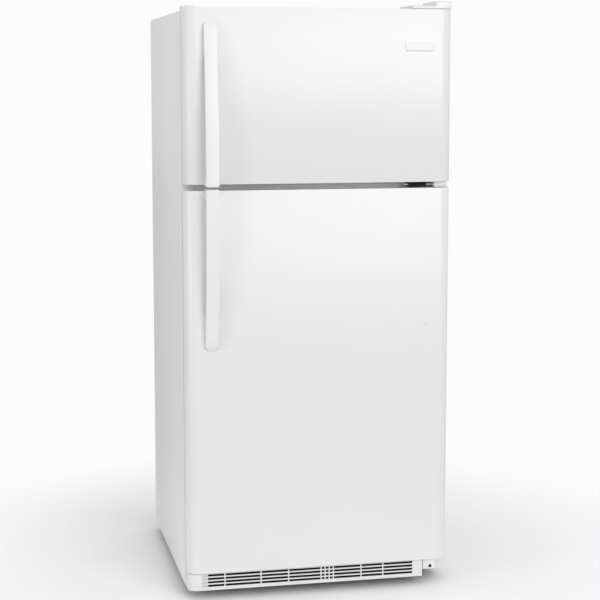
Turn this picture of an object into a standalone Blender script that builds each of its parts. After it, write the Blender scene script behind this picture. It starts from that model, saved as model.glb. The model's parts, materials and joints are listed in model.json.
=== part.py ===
"""A top-freezer refrigerator: an insulated steel cabinet, two doors hung on the right, and all inside.

Metres, +Z up, the doors face -Y. The origin is on the floor, under the middle of the whole object.
"""

import math

import bmesh
import bpy
from mathutils import Matrix, Vector

# Overall sizes
WIDTH = 0.762
HEIGHT = 1.680
DEPTH = 0.752
HANDLE_REACH = 0.042

# Clearances
FIT = 0.0003
RUNNING = 0.0008
SLIDING = 0.0015
PAST = 0.010

# Cabinet
SHEET = 0.0012
LINER = 0.002
REAR_SHEET = 0.001
COVER_RISE = 0.029
SIDE_FOOT = 0.030
TOP_CORNER = 0.006
FLANGE = 0.036
FOAM_FLOOR = 0.080
FREEZER_WALL = 0.056
FRIDGE_WALL = 0.045
TOP_WALL = 0.062
FREEZER_REAR_WALL = 0.060
FRIDGE_REAR_WALL = 0.050
FRIDGE_FLOOR = 0.135
MACHINE_DEPTH = 0.235
MACHINE_HEIGHT = 0.262
MACHINE_WALL = 0.045
RAIL_OVER_GAP = 0.024
RAIL_HEIGHT = 0.056
RAIL_LIP = 0.012

# Doors
DOOR_THICKNESS = 0.050
DOOR_TO_CABINET = 0.010
DOOR_CORNER = 0.034
DOOR_SKIN = 0.001
DOOR_RETURN = 0.012
DOOR_OVER_CABINET = 0.0065
DOOR_FOOT = 0.0775
DOOR_GAP = 0.017
FREEZER_DOOR_HEIGHT = 0.4815
CAP_HEIGHT = 0.014
CAP_SINK = 0.001
LINER_MARGIN = 0.004
GASKET_END_MARGIN = 0.009
GASKET_SIDE_MARGIN = 0.020
GASKET_WIDTH = 0.013
GASKET_TAPER = 0.001
DIKE_CLEARANCE = 0.012
DIKE_WIDTH = 0.024
DIKE_SLOPE = 0.005
DIKE_HEIGHT = 0.030
HINGE_FROM_SIDE = 0.020
HINGE_FROM_FACE = 0.022
PIN_RADIUS = 0.004
PIN_BITE = 0.012

# Handles
HANDLE_FROM_SIDE = 0.072
HANDLE_WIDTH = 0.036
HANDLE_LENGTH = 0.449
HANDLE_THICKNESS = 0.013
HANDLE_OVERHANG = 0.005
HANDLE_FOOT = 0.095
HANDLE_TIP = 0.010
HANDLE_POST = 0.030
HANDLE_SCREW_IN = 0.060

# Door bins
BIN_DEPTH = 0.100
BIN_WALL = 0.0025
BIN_SIDE_GAP = 0.004
BIN_HEIGHT = 0.085
GALLON_BIN_HEIGHT = 0.110
DAIRY_RADIUS = 0.088
DAIRY_TRAY = 0.012
DAIRY_REACH = 0.003

# Front details
BADGE_WIDTH = 0.080
BADGE_HEIGHT = 0.029
BADGE_FROM_SIDE = 0.058
BADGE_FROM_TOP = 0.087
BADGE_THICKNESS = 0.0015
PLUG_RADIUS = 0.006
PLUG_HEIGHT = 0.0015
GRILLE_FOOT = 0.027
GRILLE_HEIGHT = 0.048
GRILLE_SKIN = 0.003
GRILLE_BEHIND_FACE = 0.006
GRILLE_FROM_SIDE = 0.003
GRILLE_CORNER = 0.024
SLOT_ROWS = 4
SLOT_PITCH = 0.010
SLOT_HEIGHT = 0.0068
SLOTS_FROM_SIDE = 0.040
SLOT_BAYS = (0.066, 0.104, 0.080, 0.095, 0.012, 0.012, 0.012, 0.082, 0.065, 0.090)
SLOT_RIB = 0.003
SLOTS_FROM_TOP = 0.0015
SLOTS_TO_END = 0.028
GRILLE_TO_BRACKET = 0.038

# Hinges
HINGE_PLATE = 0.003
HINGE_ARM = 0.032
TOP_HINGE_FROM_SIDE = 0.007
TOP_HINGE_FOOT_WIDTH = 0.070
TOP_HINGE_FOOT_DEPTH = 0.050
TOP_HINGE_FOOT_BACK = 0.016
CRANK = 0.004
LOWER_HINGES_FROM_SIDE = 0.009
HINGE_BEFORE_PIN = 0.012
CENTRE_LEG_WIDTH = 0.120
CENTRE_LEG_HEIGHT = 0.018
CENTRE_LEG_CLEARANCE = 0.016
CENTRE_WEB_DEPTH = 0.030
SPACER_WIDTH = 0.036
SPACER_DEPTH = 0.020
BOTTOM_LEAF_WIDTH = 0.026
BOTTOM_HOLE_DROP = 0.022
BOTTOM_HOLE_SHARE = 0.6
BOTTOM_BRACKET_WIDTH = 0.037
BOTTOM_BRACKET_DROP = 0.030
BOTTOM_HOLE_RADIUS = 0.005
COVER_WIDTH = 0.112
COVER_TALL_WIDTH = 0.044
COVER_STEP = 0.012
COVER_WALL = 0.002
COVER_BACK = 0.085
COVER_FROM_SIDE = 0.004
COVER_BEHIND_FACE = 0.006
COVER_REAR_CHAMFER = 0.006
COVER_FRONT_CHAMFER = 0.008
TOP_PLUG_WIDTH = 0.036
TOP_PLUG_RISE = 0.013
TOP_PLUG_DEPTH = 0.042

# Inside the freezer
EVAPORATOR_ROOM = 0.072
EVAPORATOR_COVER = 0.006
EVAPORATOR_TUBE = 0.005
EVAPORATOR_PASSES = 6
EVAPORATOR_PITCH = 0.034
EVAPORATOR_RISE = 0.030
EVAPORATOR_FROM_SIDE = 0.060
RETURN_SLOTS = 6
RETURN_SLOT_RISE = 0.012
RETURN_SLOT_HEIGHT = 0.012
FAN_RADIUS = 0.045
FAN_HUB = 0.014
FAN_WIDTH = 0.014
FAN_OPENING = 0.050
FAN_BLADES = 5
FAN_SLANT = 38
FAN_BEHIND_COVER = 0.006
FAN_FROM_CEILING = 0.022
MOTOR_BRACKET = 0.003
MOTOR_STRAP_WIDTH = 0.150
MOTOR_STRAP_HEIGHT = 0.016
FREEZER_SHELF_RISE = 0.190
SHELF_THICKNESS = 0.006
SHELF_TRIM = 0.016
SHELF_FRONT_GAP = 0.130
LEDGE_REACH = 0.010
LEDGE_HEIGHT = 0.008
SHELF_TRIM_BEFORE = 0.006
SHELF_TRIM_BEHIND = 0.004

# Inside the fresh-food room
CONTROL_WIDTH = 0.480
CONTROL_DEPTH = 0.150
CONTROL_HEIGHT = 0.054
CONTROL_WALL = 0.003
CONTROL_SET_BACK = 0.108
KNOB_RADIUS = 0.020
KNOB_DEPTH = 0.016
KNOB_SPACING = 0.220
KNOB_SHAFT = 0.004
KNOB_SHAFT_LENGTH = 0.010
BULB_BASE_RADIUS = 0.012
BULB_BASE_LENGTH = 0.020
BULB_RADIUS = 0.024
BULB_LENGTH = 0.078
SWITCH_RADIUS = 0.004
SWITCH_LENGTH = 0.030
SWITCH_X = 0.180
SWITCH_TRAVEL = 0.008
CRISPER_HEIGHT = 0.190
CRISPER_DEPTH = 0.270
CRISPER_WALL = 0.003
CRISPER_SPACING = 0.012
CRISPER_SET_BACK = 0.120
CRISPER_GRIP = 0.012
CRISPER_GRIP_HEIGHT = 0.012
CRISPER_GRIP_FROM_SIDE = 0.060
CRISPER_COVER = 0.008
CRISPER_HEADROOM = 0.012

# Underneath and behind
FRAME_RAIL_WIDTH = 0.040
FRAME_RAIL_FOOT = 0.034
FRAME_RAIL_IN = 0.014
FRAME_PLATE = 0.0025
APRON_FOOT = 0.062
FRONT_BAR = 0.030
FRAME_FROM_BACK = 0.012
ROLLER_RADIUS = 0.025
ROLLER_WIDTH = 0.018
ROLLER_FROM_BACK = 0.060
AXLE_RADIUS = 0.003
AXLE_GRIP = 0.005
LEG_RADIUS = 0.005
LEG_PAD_RADIUS = 0.017
LEG_PAD_HEIGHT = 0.008
LEG_SET_BACK = 0.110
COMPRESSOR_RADIUS = 0.078
COMPRESSOR_HEIGHT = 0.165
COMPRESSOR_FROM_SIDE = 0.180
CONDENSER_TUBE = 0.003
CONDENSER_LENGTH = 0.190
CONDENSER_LAYERS = 4
CONDENSER_PASSES = 5
CONDENSER_PITCH = 0.030
CONDENSER_LAYER_PITCH = 0.034
COOLING_FAN_RADIUS = 0.062
COOLING_FAN_FROM_SIDE = 0.310
MOTOR_RADIUS = 0.020
MOTOR_LENGTH = 0.034
MOTOR_POST_WIDTH = 0.024
MOTOR_FOOT_WIDTH = 0.060
COOLING_FAN_LIFT = 0.034
COMPRESSOR_FOOT_HEIGHT = 0.018
COMPRESSOR_FOOT_DEPTH = 0.090
COMPRESSOR_FOOT_REACH = 0.012
CONDENSER_OVER_PAN = 0.022
DRAIN_PAN_HEIGHT = 0.022
PAN_FROM_FRONT = 0.012
PAN_FROM_BACK = 0.020
BOARD_THICKNESS = 0.003
BOARD_LIFT = 0.004
AIR_SLOT_ROWS = 6
AIR_SLOT_PITCH = 0.024
AIR_SLOT_HEIGHT = 0.010
AIR_SLOT_FOOT = 0.080
AIR_SLOT_FROM_SIDE = 0.060
AIR_SLOT_SHARE = 0.6
CORD_HOLE_RADIUS = 0.006
CORD_HOLE_FROM_SIDE = 0.030
CORD_HOLE_HEIGHT = 0.060

# Places worked out from the sizes
HALF = WIDTH / 2
BACK_Y = (DEPTH + HANDLE_REACH) / 2
FACE_Y = BACK_Y - DEPTH
DOOR_REAR_Y = FACE_Y + DOOR_THICKNESS
CABINET_Y = DOOR_REAR_Y + DOOR_TO_CABINET
CABINET_TOP = HEIGHT - COVER_RISE
DOOR_TOP = CABINET_TOP + DOOR_OVER_CABINET
FREEZER_DOOR_FOOT = DOOR_TOP - FREEZER_DOOR_HEIGHT
FRIDGE_DOOR_TOP = FREEZER_DOOR_FOOT - DOOR_GAP
RAIL_TOP = FRIDGE_DOOR_TOP - RAIL_OVER_GAP + RAIL_HEIGHT
RAIL_FOOT = FRIDGE_DOOR_TOP - RAIL_OVER_GAP
FREEZER_X = HALF - FREEZER_WALL
FREEZER_FLOOR = RAIL_TOP + RAIL_LIP
FREEZER_CEILING = CABINET_TOP - TOP_WALL
FREEZER_BACK = BACK_Y - FREEZER_REAR_WALL
FRIDGE_X = HALF - FRIDGE_WALL
FRIDGE_CEILING = RAIL_FOOT - RAIL_LIP
FRIDGE_BACK = BACK_Y - FRIDGE_REAR_WALL
MACHINE_Y = BACK_Y - MACHINE_DEPTH
STEP_Y = MACHINE_Y - MACHINE_WALL
STEP_Z = MACHINE_HEIGHT + MACHINE_WALL
HINGE_X = HALF - HINGE_FROM_SIDE
HINGE_Y = FACE_Y + HINGE_FROM_FACE
HANDLE_X = -HALF + HANDLE_FROM_SIDE
LINER_FACE = DOOR_REAR_Y + FIT + LINER
FREEZER_ROOM = (FREEZER_X, FREEZER_FLOOR, FREEZER_CEILING)
FRIDGE_ROOM = (FRIDGE_X, FRIDGE_FLOOR, FRIDGE_CEILING)
DIKE_INSET = DIKE_CLEARANCE + DIKE_WIDTH
CRISPER_FOOT = FRIDGE_FLOOR + SLIDING
COVER_FOOT = CRISPER_FOOT + CRISPER_HEIGHT + CRISPER_HEADROOM
CONTROL_FOOT = FRIDGE_CEILING - CONTROL_HEIGHT
EVAPORATOR_COVER_Y = FREEZER_BACK - EVAPORATOR_ROOM
MACHINE_FLOOR = FRAME_RAIL_FOOT + FRAME_PLATE

# Finishes: colour, roughness, metallic
FINISHES = {
    "white_enamel": ((0.90, 0.90, 0.90), 0.32, 0.0),
    "white_plastic": ((0.91, 0.91, 0.91), 0.38, 0.0),
    "liner_plastic": ((0.88, 0.89, 0.90), 0.42, 0.0),
    "gasket_vinyl": ((0.62, 0.62, 0.62), 0.60, 0.0),
    "foam": ((0.80, 0.72, 0.50), 0.90, 0.0),
    "zinc_steel": ((0.62, 0.63, 0.64), 0.38, 1.0),
    "black_enamel": ((0.03, 0.03, 0.03), 0.45, 0.0),
    "black_plastic": ((0.04, 0.04, 0.04), 0.55, 0.0),
    "aluminium": ((0.80, 0.81, 0.82), 0.35, 1.0),
    "shelf_glass": ((0.80, 0.90, 0.88), 0.05, 0.0),
    "clear_plastic": ((0.86, 0.90, 0.92), 0.12, 0.0),
    "bulb_glass": ((0.95, 0.94, 0.90), 0.15, 0.0),
    "grille_plastic": ((0.84, 0.84, 0.84), 0.45, 0.0),
    "fibreboard": ((0.20, 0.18, 0.16), 0.85, 0.0),
    "badge_metal": ((0.80, 0.80, 0.80), 0.25, 1.0),
}


def clear_scene():
    for obj in list(bpy.data.objects):
        bpy.data.objects.remove(obj)


def finish(name):
    """The Principled material of one finish, made once."""
    if name in bpy.data.materials:
        return bpy.data.materials[name]
    colour, roughness, metallic = FINISHES[name]
    made = bpy.data.materials.new(name)
    made.use_nodes = True
    shader = made.node_tree.nodes["Principled BSDF"]
    shader.inputs["Base Color"].default_value = (*colour, 1.0)
    shader.inputs["Roughness"].default_value = roughness
    shader.inputs["Metallic"].default_value = metallic
    return made


def add(name, shape, finish_name, smooth=False):
    """Turns a bmesh into a named object with a finish, its faces pointing out."""
    bmesh.ops.recalc_face_normals(shape, faces=shape.faces)
    mesh = bpy.data.meshes.new(name)
    shape.to_mesh(mesh)
    shape.free()
    mesh.materials.append(finish(finish_name))
    if smooth:
        mesh.shade_smooth()
        mesh.set_sharp_from_angle(angle=math.radians(35))
    obj = bpy.data.objects.new(name, mesh)
    bpy.context.scene.collection.objects.link(obj)
    return obj


def boolean(target, tool, operation):
    """Keeps the tool as a hidden wire helper of the target's Boolean."""
    tool.hide_render = True
    tool.display_type = "WIRE"
    modifier = target.modifiers.new(operation.lower(), "BOOLEAN")
    modifier.operation = operation
    modifier.solver = "EXACT"
    modifier.object = tool
    return target


def cut(target, tool):
    return boolean(target, tool, "DIFFERENCE")


def join(target, tool):
    return boolean(target, tool, "UNION")


def block_shape(low, high):
    shape = bmesh.new()
    bmesh.ops.create_cube(shape, size=1.0)
    size = Vector(high) - Vector(low)
    middle = (Vector(high) + Vector(low)) / 2
    bmesh.ops.scale(shape, vec=size, verts=shape.verts)
    bmesh.ops.translate(shape, vec=middle, verts=shape.verts)
    return shape


def block(name, low, high, finish_name, bevel=0.0):
    """A box between two corners, with its edges rounded where a bevel is given."""
    shape = block_shape(low, high)
    if bevel:
        bmesh.ops.bevel(shape, geom=shape.edges, offset=bevel, segments=2, affect="EDGES", profile=0.5)
    return add(name, shape, finish_name)


def blocks(name, corners, finish_name):
    """Separate boxes in one helper, for cutting or joining in one go."""
    shape = bmesh.new()
    for low, high in corners:
        piece = block_shape(low, high)
        mesh = bpy.data.meshes.new("piece")
        piece.to_mesh(mesh)
        piece.free()
        shape.from_mesh(mesh)
        bpy.data.meshes.remove(mesh)
    return add(name, shape, finish_name)


def placed(axis, u, v, w):
    """A point from its place across the axis, (u, v), and along it, w."""
    if axis == "X":
        return (w, u, v)
    if axis == "Y":
        return (u, w, v)
    return (u, v, w)


def prism(name, outline, axis, start, end, finish_name):
    """An outline across an axis, extruded along it."""
    shape = bmesh.new()
    corners = [shape.verts.new(placed(axis, u, v, start)) for u, v in outline]
    face = shape.faces.new(corners)
    grown = bmesh.ops.extrude_face_region(shape, geom=[face])
    moved = [item for item in grown["geom"] if isinstance(item, bmesh.types.BMVert)]
    bmesh.ops.translate(shape, vec=placed(axis, 0, 0, end - start), verts=moved)
    return add(name, shape, finish_name)


def ringed(name, rings, axis, finish_name, hollow=False):
    """Rectangles joined one after another along an axis: trays, liners and frames.

    A ring is (low corner, high corner, place along the axis). The first and the last are capped,
    or joined to each other where the shape goes round a hole.
    """
    shape = bmesh.new()
    loops = []
    for (u0, v0), (u1, v1), w in rings:
        corners = ((u0, v0), (u1, v0), (u1, v1), (u0, v1))
        loops.append([shape.verts.new(placed(axis, u, v, w)) for u, v in corners])
    pairs = list(zip(loops, loops[1:], strict=False))
    if hollow:
        pairs.append((loops[-1], loops[0]))
    else:
        shape.faces.new(loops[0])
        shape.faces.new(loops[-1])
    for one, two in pairs:
        for i in range(4):
            j = (i + 1) % 4
            shape.faces.new((one[i], one[j], two[j], two[i]))
    return add(name, shape, finish_name)


def tray(name, low, high, wall, finish_name, floor=None):
    """A box with its top open."""
    bottom = wall if floor is None else floor
    outer = (low[:2], high[:2])
    inner = ((low[0] + wall, low[1] + wall), (high[0] - wall, high[1] - wall))
    rings = ((*outer, low[2]), (*outer, high[2]), (*inner, high[2]), (*inner, low[2] + bottom))
    return ringed(name, rings, "Z", finish_name)


def turned(name, profile, place, axis, finish_name, sides=24):
    """A profile of (radius, height) points turned about an axis through a place."""
    shape = bmesh.new()
    points = [shape.verts.new((radius, 0, height)) for radius, height in profile]
    edges = [shape.edges.new(pair) for pair in zip(points, points[1:], strict=False)]
    bmesh.ops.spin(
        shape, geom=points + edges, angle=2 * math.pi, steps=sides, axis=(0, 0, 1), cent=(0, 0, 0)
    )
    bmesh.ops.remove_doubles(shape, verts=shape.verts, dist=1e-6)
    bmesh.ops.transform(shape, matrix=standing(place, axis), verts=shape.verts)
    return add(name, shape, finish_name, smooth=True)


def standing(place, axis):
    """The matrix that stands a +Z shape up along an axis at a place."""
    turn = Vector((0, 0, 1)).rotation_difference(Vector(axis)).to_matrix().to_4x4()
    return Matrix.Translation(place) @ turn


def rod(name, place, axis, radius, length, finish_name="zinc_steel", sides=24):
    """A plain round bar that starts at a place and runs along an axis."""
    profile = ((0, 0), (radius, 0), (radius, length), (0, length))
    return turned(name, profile, place, axis, finish_name, sides)


def pipe(name, points, radius, finish_name):
    """A round tube with closed ends along straight points."""
    curve = bpy.data.curves.new(name, "CURVE")
    curve.dimensions = "3D"
    curve.bevel_depth = radius
    curve.bevel_resolution = 1
    curve.use_fill_caps = True
    line = curve.splines.new("POLY")
    line.points.add(len(points) - 1)
    for target, point in zip(line.points, points, strict=True):
        target.co = (*point, 1.0)
    curve.materials.append(finish(finish_name))
    obj = bpy.data.objects.new(name, curve)
    bpy.context.scene.collection.objects.link(obj)
    return obj


def arc(centre, radius, start, end, steps):
    """Points of an arc, angles in degrees."""
    angles = [math.radians(start + (end - start) * i / steps) for i in range(steps + 1)]
    return [(centre[0] + radius * math.cos(a), centre[1] + radius * math.sin(a)) for a in angles]


def hang(name, place, objects):
    """Parents pieces to an empty that stands on their joint's axis."""
    axis = bpy.data.objects.new(name, None)
    axis.location = place
    bpy.context.scene.collection.objects.link(axis)
    for obj in objects:
        obj.parent = axis
        obj.matrix_parent_inverse = Matrix.Translation(place).inverted()


# Cabinet


def arch(inset, foot, radius):
    """The cabinet seen from the front: straight sides, the two top corners rounded."""
    side = HALF - inset
    top = CABINET_TOP - inset
    right = arc((side - radius, top - radius), radius, 0, 90, 3)
    left = [(-x, z) for x, z in reversed(right)]
    return [(side, foot), *right, *left, (-side, foot)]


def arch_strip(outset, inset, radius, foot):
    """A band that follows the sides and the top."""
    outer = arch(outset, foot, radius)
    side = HALF - inset
    top = CABINET_TOP - inset
    return [*outer, (-side, foot), (-side, top), (side, top), (side, foot)]


def outer_wrapper():
    rear = BACK_Y - REAR_SHEET - FIT
    outer = arch(0, SIDE_FOOT, TOP_CORNER)
    inner = arch(SHEET, SIDE_FOOT, TOP_CORNER - SHEET)
    wall = prism("outer_wrapper", [*outer, *reversed(inner)], "Y", CABINET_Y, rear, "white_enamel")
    band = arch_strip(SHEET / 2, FLANGE, TOP_CORNER - SHEET / 2, SIDE_FOOT)
    front = prism("wrapper_flange", band, "Y", CABINET_Y, CABINET_Y + SHEET, "white_enamel")
    join(wall, front)


def rear_panel():
    """A plain sheet inside the wrapper's arch, down to the machine space."""
    inset = SHEET + FIT
    outline = arch(inset, MACHINE_HEIGHT, TOP_CORNER - inset)
    prism("rear_panel", outline, "Y", BACK_Y - REAR_SHEET, BACK_Y, "zinc_steel")


def fridge_profile(front, grow):
    """The fresh-food room seen from the side, over the step that the machine space makes."""
    return [
        (front, FRIDGE_FLOOR - grow),
        (STEP_Y + grow, FRIDGE_FLOOR - grow),
        (STEP_Y + grow, STEP_Z - grow),
        (FRIDGE_BACK + grow, STEP_Z - grow),
        (FRIDGE_BACK + grow, FRIDGE_CEILING + grow),
        (front, FRIDGE_CEILING + grow),
    ]


def cabinet_foam():
    inset = SHEET + FIT
    front = CABINET_Y + LINER + FIT
    rear = BACK_Y - REAR_SHEET - FIT
    outline = arch(inset, FOAM_FLOOR, TOP_CORNER - inset)
    foam = prism("cabinet_foam", outline, "Y", front, rear, "foam")
    grow = LINER + FIT
    side = FREEZER_X + grow
    low = (-side, front - PAST, FREEZER_FLOOR - grow)
    high = (side, FREEZER_BACK + grow, FREEZER_CEILING + grow)
    cut(foam, block("freezer_room", low, high, "foam"))
    side = FRIDGE_X + grow
    cut(foam, prism("fridge_room", fridge_profile(front - PAST, grow), "X", -side, side, "foam"))
    low = (-HALF, MACHINE_Y, FOAM_FLOOR - PAST)
    cut(foam, block("machine_room", low, (HALF, BACK_Y, MACHINE_HEIGHT), "foam"))
    cut(foam, switch_bore("foam_switch_bore"))


def freezer_liner():
    grow = LINER
    outer = ((-FREEZER_X - grow, FREEZER_FLOOR - grow), (FREEZER_X + grow, FREEZER_CEILING + grow))
    inner = ((-FREEZER_X, FREEZER_FLOOR), (FREEZER_X, FREEZER_CEILING))
    side = HALF - FLANGE - FIT
    lip = ((-side, RAIL_TOP + FIT), (side, CABINET_TOP - FLANGE - FIT))
    rings = (
        (*outer, FREEZER_BACK + grow),
        (*outer, CABINET_Y + LINER),
        (*lip, CABINET_Y + LINER),
        (*lip, CABINET_Y),
        (*inner, CABINET_Y),
        (*inner, FREEZER_BACK),
    )
    liner = ringed("freezer_liner", rings, "Y", "liner_plastic")
    foot = freezer_shelf_foot() - LEDGE_HEIGHT - FIT
    join(liner, side_ledges("freezer_ledges", FREEZER_X, (foot,), EVAPORATOR_COVER_Y - FIT))


def side_ledges(name, side, feet, rear):
    """Moulded ledges on both side walls that carry the shelves."""
    front = CABINET_Y + SHELF_FRONT_GAP
    corners = []
    for foot in feet:
        top = foot + LEDGE_HEIGHT
        corners.append(((side - LEDGE_REACH, front, foot), (side + LINER / 2, rear, top)))
        corners.append(((-side - LINER / 2, front, foot), (-side + LEDGE_REACH, rear, top)))
    return blocks(name, corners, "liner_plastic")


def fridge_liner():
    side = FRIDGE_X + LINER
    profile = fridge_profile(CABINET_Y + LINER / 2, LINER)
    liner = prism("fridge_liner", profile, "X", -side, side, "liner_plastic")
    edge = HALF - FLANGE - FIT
    low = (-edge, CABINET_Y, FRIDGE_FLOOR - RAIL_LIP + FIT)
    high = (edge, CABINET_Y + LINER, RAIL_FOOT - FIT)
    join(liner, block("fridge_lip", low, high, "liner_plastic"))
    profile = fridge_profile(CABINET_Y - PAST, 0)
    cut(liner, prism("fridge_hollow", profile, "X", -FRIDGE_X, FRIDGE_X, "liner_plastic"))
    feet = [foot - LEDGE_HEIGHT - FIT for foot in (*shelf_feet(), COVER_FOOT)]
    join(liner, side_ledges("fridge_ledges", FRIDGE_X, feet, FRIDGE_BACK - FIT))
    cut(liner, switch_bore("liner_switch_bore"))


def switch_place():
    return (SWITCH_X, CABINET_Y, (RAIL_FOOT + FRIDGE_CEILING) / 2)


def switch_bore(name):
    x, y, z = switch_place()
    return rod(name, (x, y - PAST, z), (0, 1, 0), SWITCH_RADIUS + RUNNING, SWITCH_LENGTH + PAST)


def centre_rail():
    side = HALF - FLANGE - FIT
    low = (-side, CABINET_Y, RAIL_FOOT)
    block("centre_rail", low, (side, CABINET_Y + SHEET, RAIL_TOP), "white_enamel")


def rail_x():
    """The middle of each base rail."""
    return HALF - FRAME_RAIL_IN - FRAME_RAIL_WIDTH / 2


def leg_place(side):
    return (side * rail_x(), CABINET_Y + LEG_SET_BACK, 0)


def roller_place(side):
    return (side * rail_x(), BACK_Y - ROLLER_FROM_BACK, ROLLER_RADIUS)


def base_frame():
    """Two rails, a front apron and a rear pan under the cabinet."""
    top = FOAM_FLOOR - FIT
    half_rail = FRAME_RAIL_WIDTH / 2
    rear = BACK_Y - FRAME_FROM_BACK
    front = CABINET_Y + SHEET + FIT
    low = (rail_x() - half_rail, front, FRAME_RAIL_FOOT)
    frame = block("base_frame", low, (rail_x() + half_rail, rear, top), "black_enamel")
    low = (-rail_x() - half_rail, front, FRAME_RAIL_FOOT)
    join(frame, block("left_rail", low, (-rail_x() + half_rail, rear, top), "black_enamel"))
    side = HALF - FLANGE - FIT
    apron_top = FRIDGE_FLOOR - RAIL_LIP
    low = (-side, CABINET_Y, APRON_FOOT)
    join(frame, block("apron", low, (side, CABINET_Y + SHEET, apron_top), "black_enamel"))
    pan_top = FRAME_RAIL_FOOT + FRAME_PLATE
    low = (-rail_x(), MACHINE_Y, FRAME_RAIL_FOOT)
    join(frame, block("pan", low, (rail_x(), rear, pan_top), "black_enamel"))
    low = (-side, CABINET_Y + SHEET / 2, APRON_FOOT)
    join(frame, block("front_bar", low, (side, CABINET_Y + FRONT_BAR, top), "black_enamel"))
    for side in (-1, 1):
        x, y, z = roller_place(side)
        half = ROLLER_WIDTH / 2 + SLIDING
        reach = ROLLER_RADIUS + SLIDING
        low = (x - half, y - reach, FRAME_RAIL_FOOT - PAST)
        cut(frame, block("roller_room", low, (x + half, y + reach, z + reach), "black_enamel"))
        start = (x - half_rail - PAST, y, z)
        bore = AXLE_RADIUS + RUNNING
        cut(frame, rod("axle_hole", start, (1, 0, 0), bore, FRAME_RAIL_WIDTH + 2 * PAST))
        x, y, _ = leg_place(side)
        start = (x, y, FRAME_RAIL_FOOT - PAST)
        cut(frame, rod("leg_hole", start, (0, 0, 1), LEG_RADIUS + RUNNING, FOAM_FLOOR))


def toe_grille():
    """A plain wrap round the left corner and a slotted front, open at the back."""
    left = -HALF + GRILLE_FROM_SIDE
    front = FACE_Y + GRILLE_BEHIND_FACE
    right = grille_right()
    rear = CABINET_Y - FIT
    corner = (left + GRILLE_CORNER, front + GRILLE_CORNER)
    outer = [(left, rear), *arc(corner, GRILLE_CORNER, 180, 270, 6), (right, front), (right, rear)]
    inner = [
        (left + GRILLE_SKIN, rear),
        *arc(corner, GRILLE_CORNER - GRILLE_SKIN, 180, 270, 6),
        (right - GRILLE_SKIN, front + GRILLE_SKIN),
        (right - GRILLE_SKIN, rear),
    ]
    outline = [*outer, *reversed(inner)]
    top = GRILLE_FOOT + GRILLE_HEIGHT
    grille = prism("toe_grille", outline, "Z", GRILLE_FOOT, top, "grille_plastic")
    cut(grille, blocks("slots", slot_corners(front, top), "grille_plastic"))


def grille_right():
    return HALF - BOTTOM_BRACKET_WIDTH - GRILLE_TO_BRACKET


def slot_corners(front, top):
    """Every slot of every row, between the ribs."""
    corners = []
    for row in range(SLOT_ROWS):
        high = top - SLOTS_FROM_TOP - row * SLOT_PITCH
        start = -HALF + SLOTS_FROM_SIDE
        for bay in slot_bays():
            end = start + bay
            low = (start + SLOT_RIB / 2, front - PAST, high - SLOT_HEIGHT)
            corners.append((low, (end - SLOT_RIB / 2, front + PAST, high)))
            start = end
    return corners


def slot_bays():
    """The bays keep their proportions in the width that the grille has."""
    room = grille_right() + HALF - SLOTS_FROM_SIDE - SLOTS_TO_END
    return [bay * room / sum(SLOT_BAYS) for bay in SLOT_BAYS]


# Hinges


def top_hinge():
    """A cranked plate on the cabinet with the freezer door's upper pin."""
    low_z = CABINET_TOP + FIT
    high_z = DOOR_TOP + SLIDING
    front = HINGE_Y - HINGE_BEFORE_PIN
    step = CABINET_Y + CRANK
    rear = CABINET_Y + TOP_HINGE_FOOT_WIDTH
    outline = [
        (front, high_z),
        (step, high_z),
        (step + CRANK, low_z),
        (rear, low_z),
        (rear, low_z + HINGE_PLATE),
        (step + CRANK + HINGE_PLATE, low_z + HINGE_PLATE),
        (step + HINGE_PLATE, high_z + HINGE_PLATE),
        (front, high_z + HINGE_PLATE),
    ]
    right = HALF - TOP_HINGE_FROM_SIDE
    plate = prism("top_hinge", outline, "X", right - HINGE_ARM, right, "zinc_steel")
    near = CABINET_Y + TOP_HINGE_FOOT_BACK
    low = (right - TOP_HINGE_FOOT_WIDTH, near, low_z)
    high = (right - HINGE_PLATE, near + TOP_HINGE_FOOT_DEPTH, low_z + HINGE_PLATE)
    join(plate, block("hinge_foot", low, high, "zinc_steel"))
    start = (HINGE_X, HINGE_Y, high_z + HINGE_PLATE / 2)
    join(plate, rod("upper_pin", start, (0, 0, -1), PIN_RADIUS, PIN_BITE))


def cover_outline(inset, top):
    """The hinge cover seen from the side: low over the cabinet, stepped up over the door.

    With an inset it is the hollow inside, which runs out through the open bottom.
    """
    front = FACE_Y + COVER_BEHIND_FACE + inset
    back = CABINET_Y + COVER_BACK - inset
    out = PAST if inset else 0
    door = DOOR_TOP + SLIDING * 0.8 - out
    cabinet = CABINET_TOP + FIT - out
    step = CABINET_Y + FIT + inset
    crown = top - inset
    return [
        (front, door),
        (step, door),
        (step, cabinet),
        (back, cabinet),
        (back, crown - COVER_REAR_CHAMFER / 2),
        (back - COVER_REAR_CHAMFER, crown),
        (front + COVER_FRONT_CHAMFER, crown),
        (front, crown - COVER_FRONT_CHAMFER / 2),
    ]


def cover_body(name, inset, left, top):
    right = HALF - COVER_FROM_SIDE - inset
    return prism(name, cover_outline(inset, top), "X", left + inset, right, "white_plastic")


def top_hinge_cover():
    """Two heights of cover in one shell: low towards the middle, tall over the hinge."""
    left = HALF - COVER_FROM_SIDE - COVER_WIDTH
    tall_left = HALF - COVER_FROM_SIDE - COVER_TALL_WIDTH
    low_top = HEIGHT - COVER_STEP
    cover = cover_body("top_hinge_cover", 0, left, low_top)
    join(cover, cover_body("cover_tall", 0, tall_left, HEIGHT))
    cut(cover, cover_body("cover_hollow", COVER_WALL, left, low_top))
    cut(cover, cover_body("cover_tall_hollow", COVER_WALL, tall_left, HEIGHT))


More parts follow.
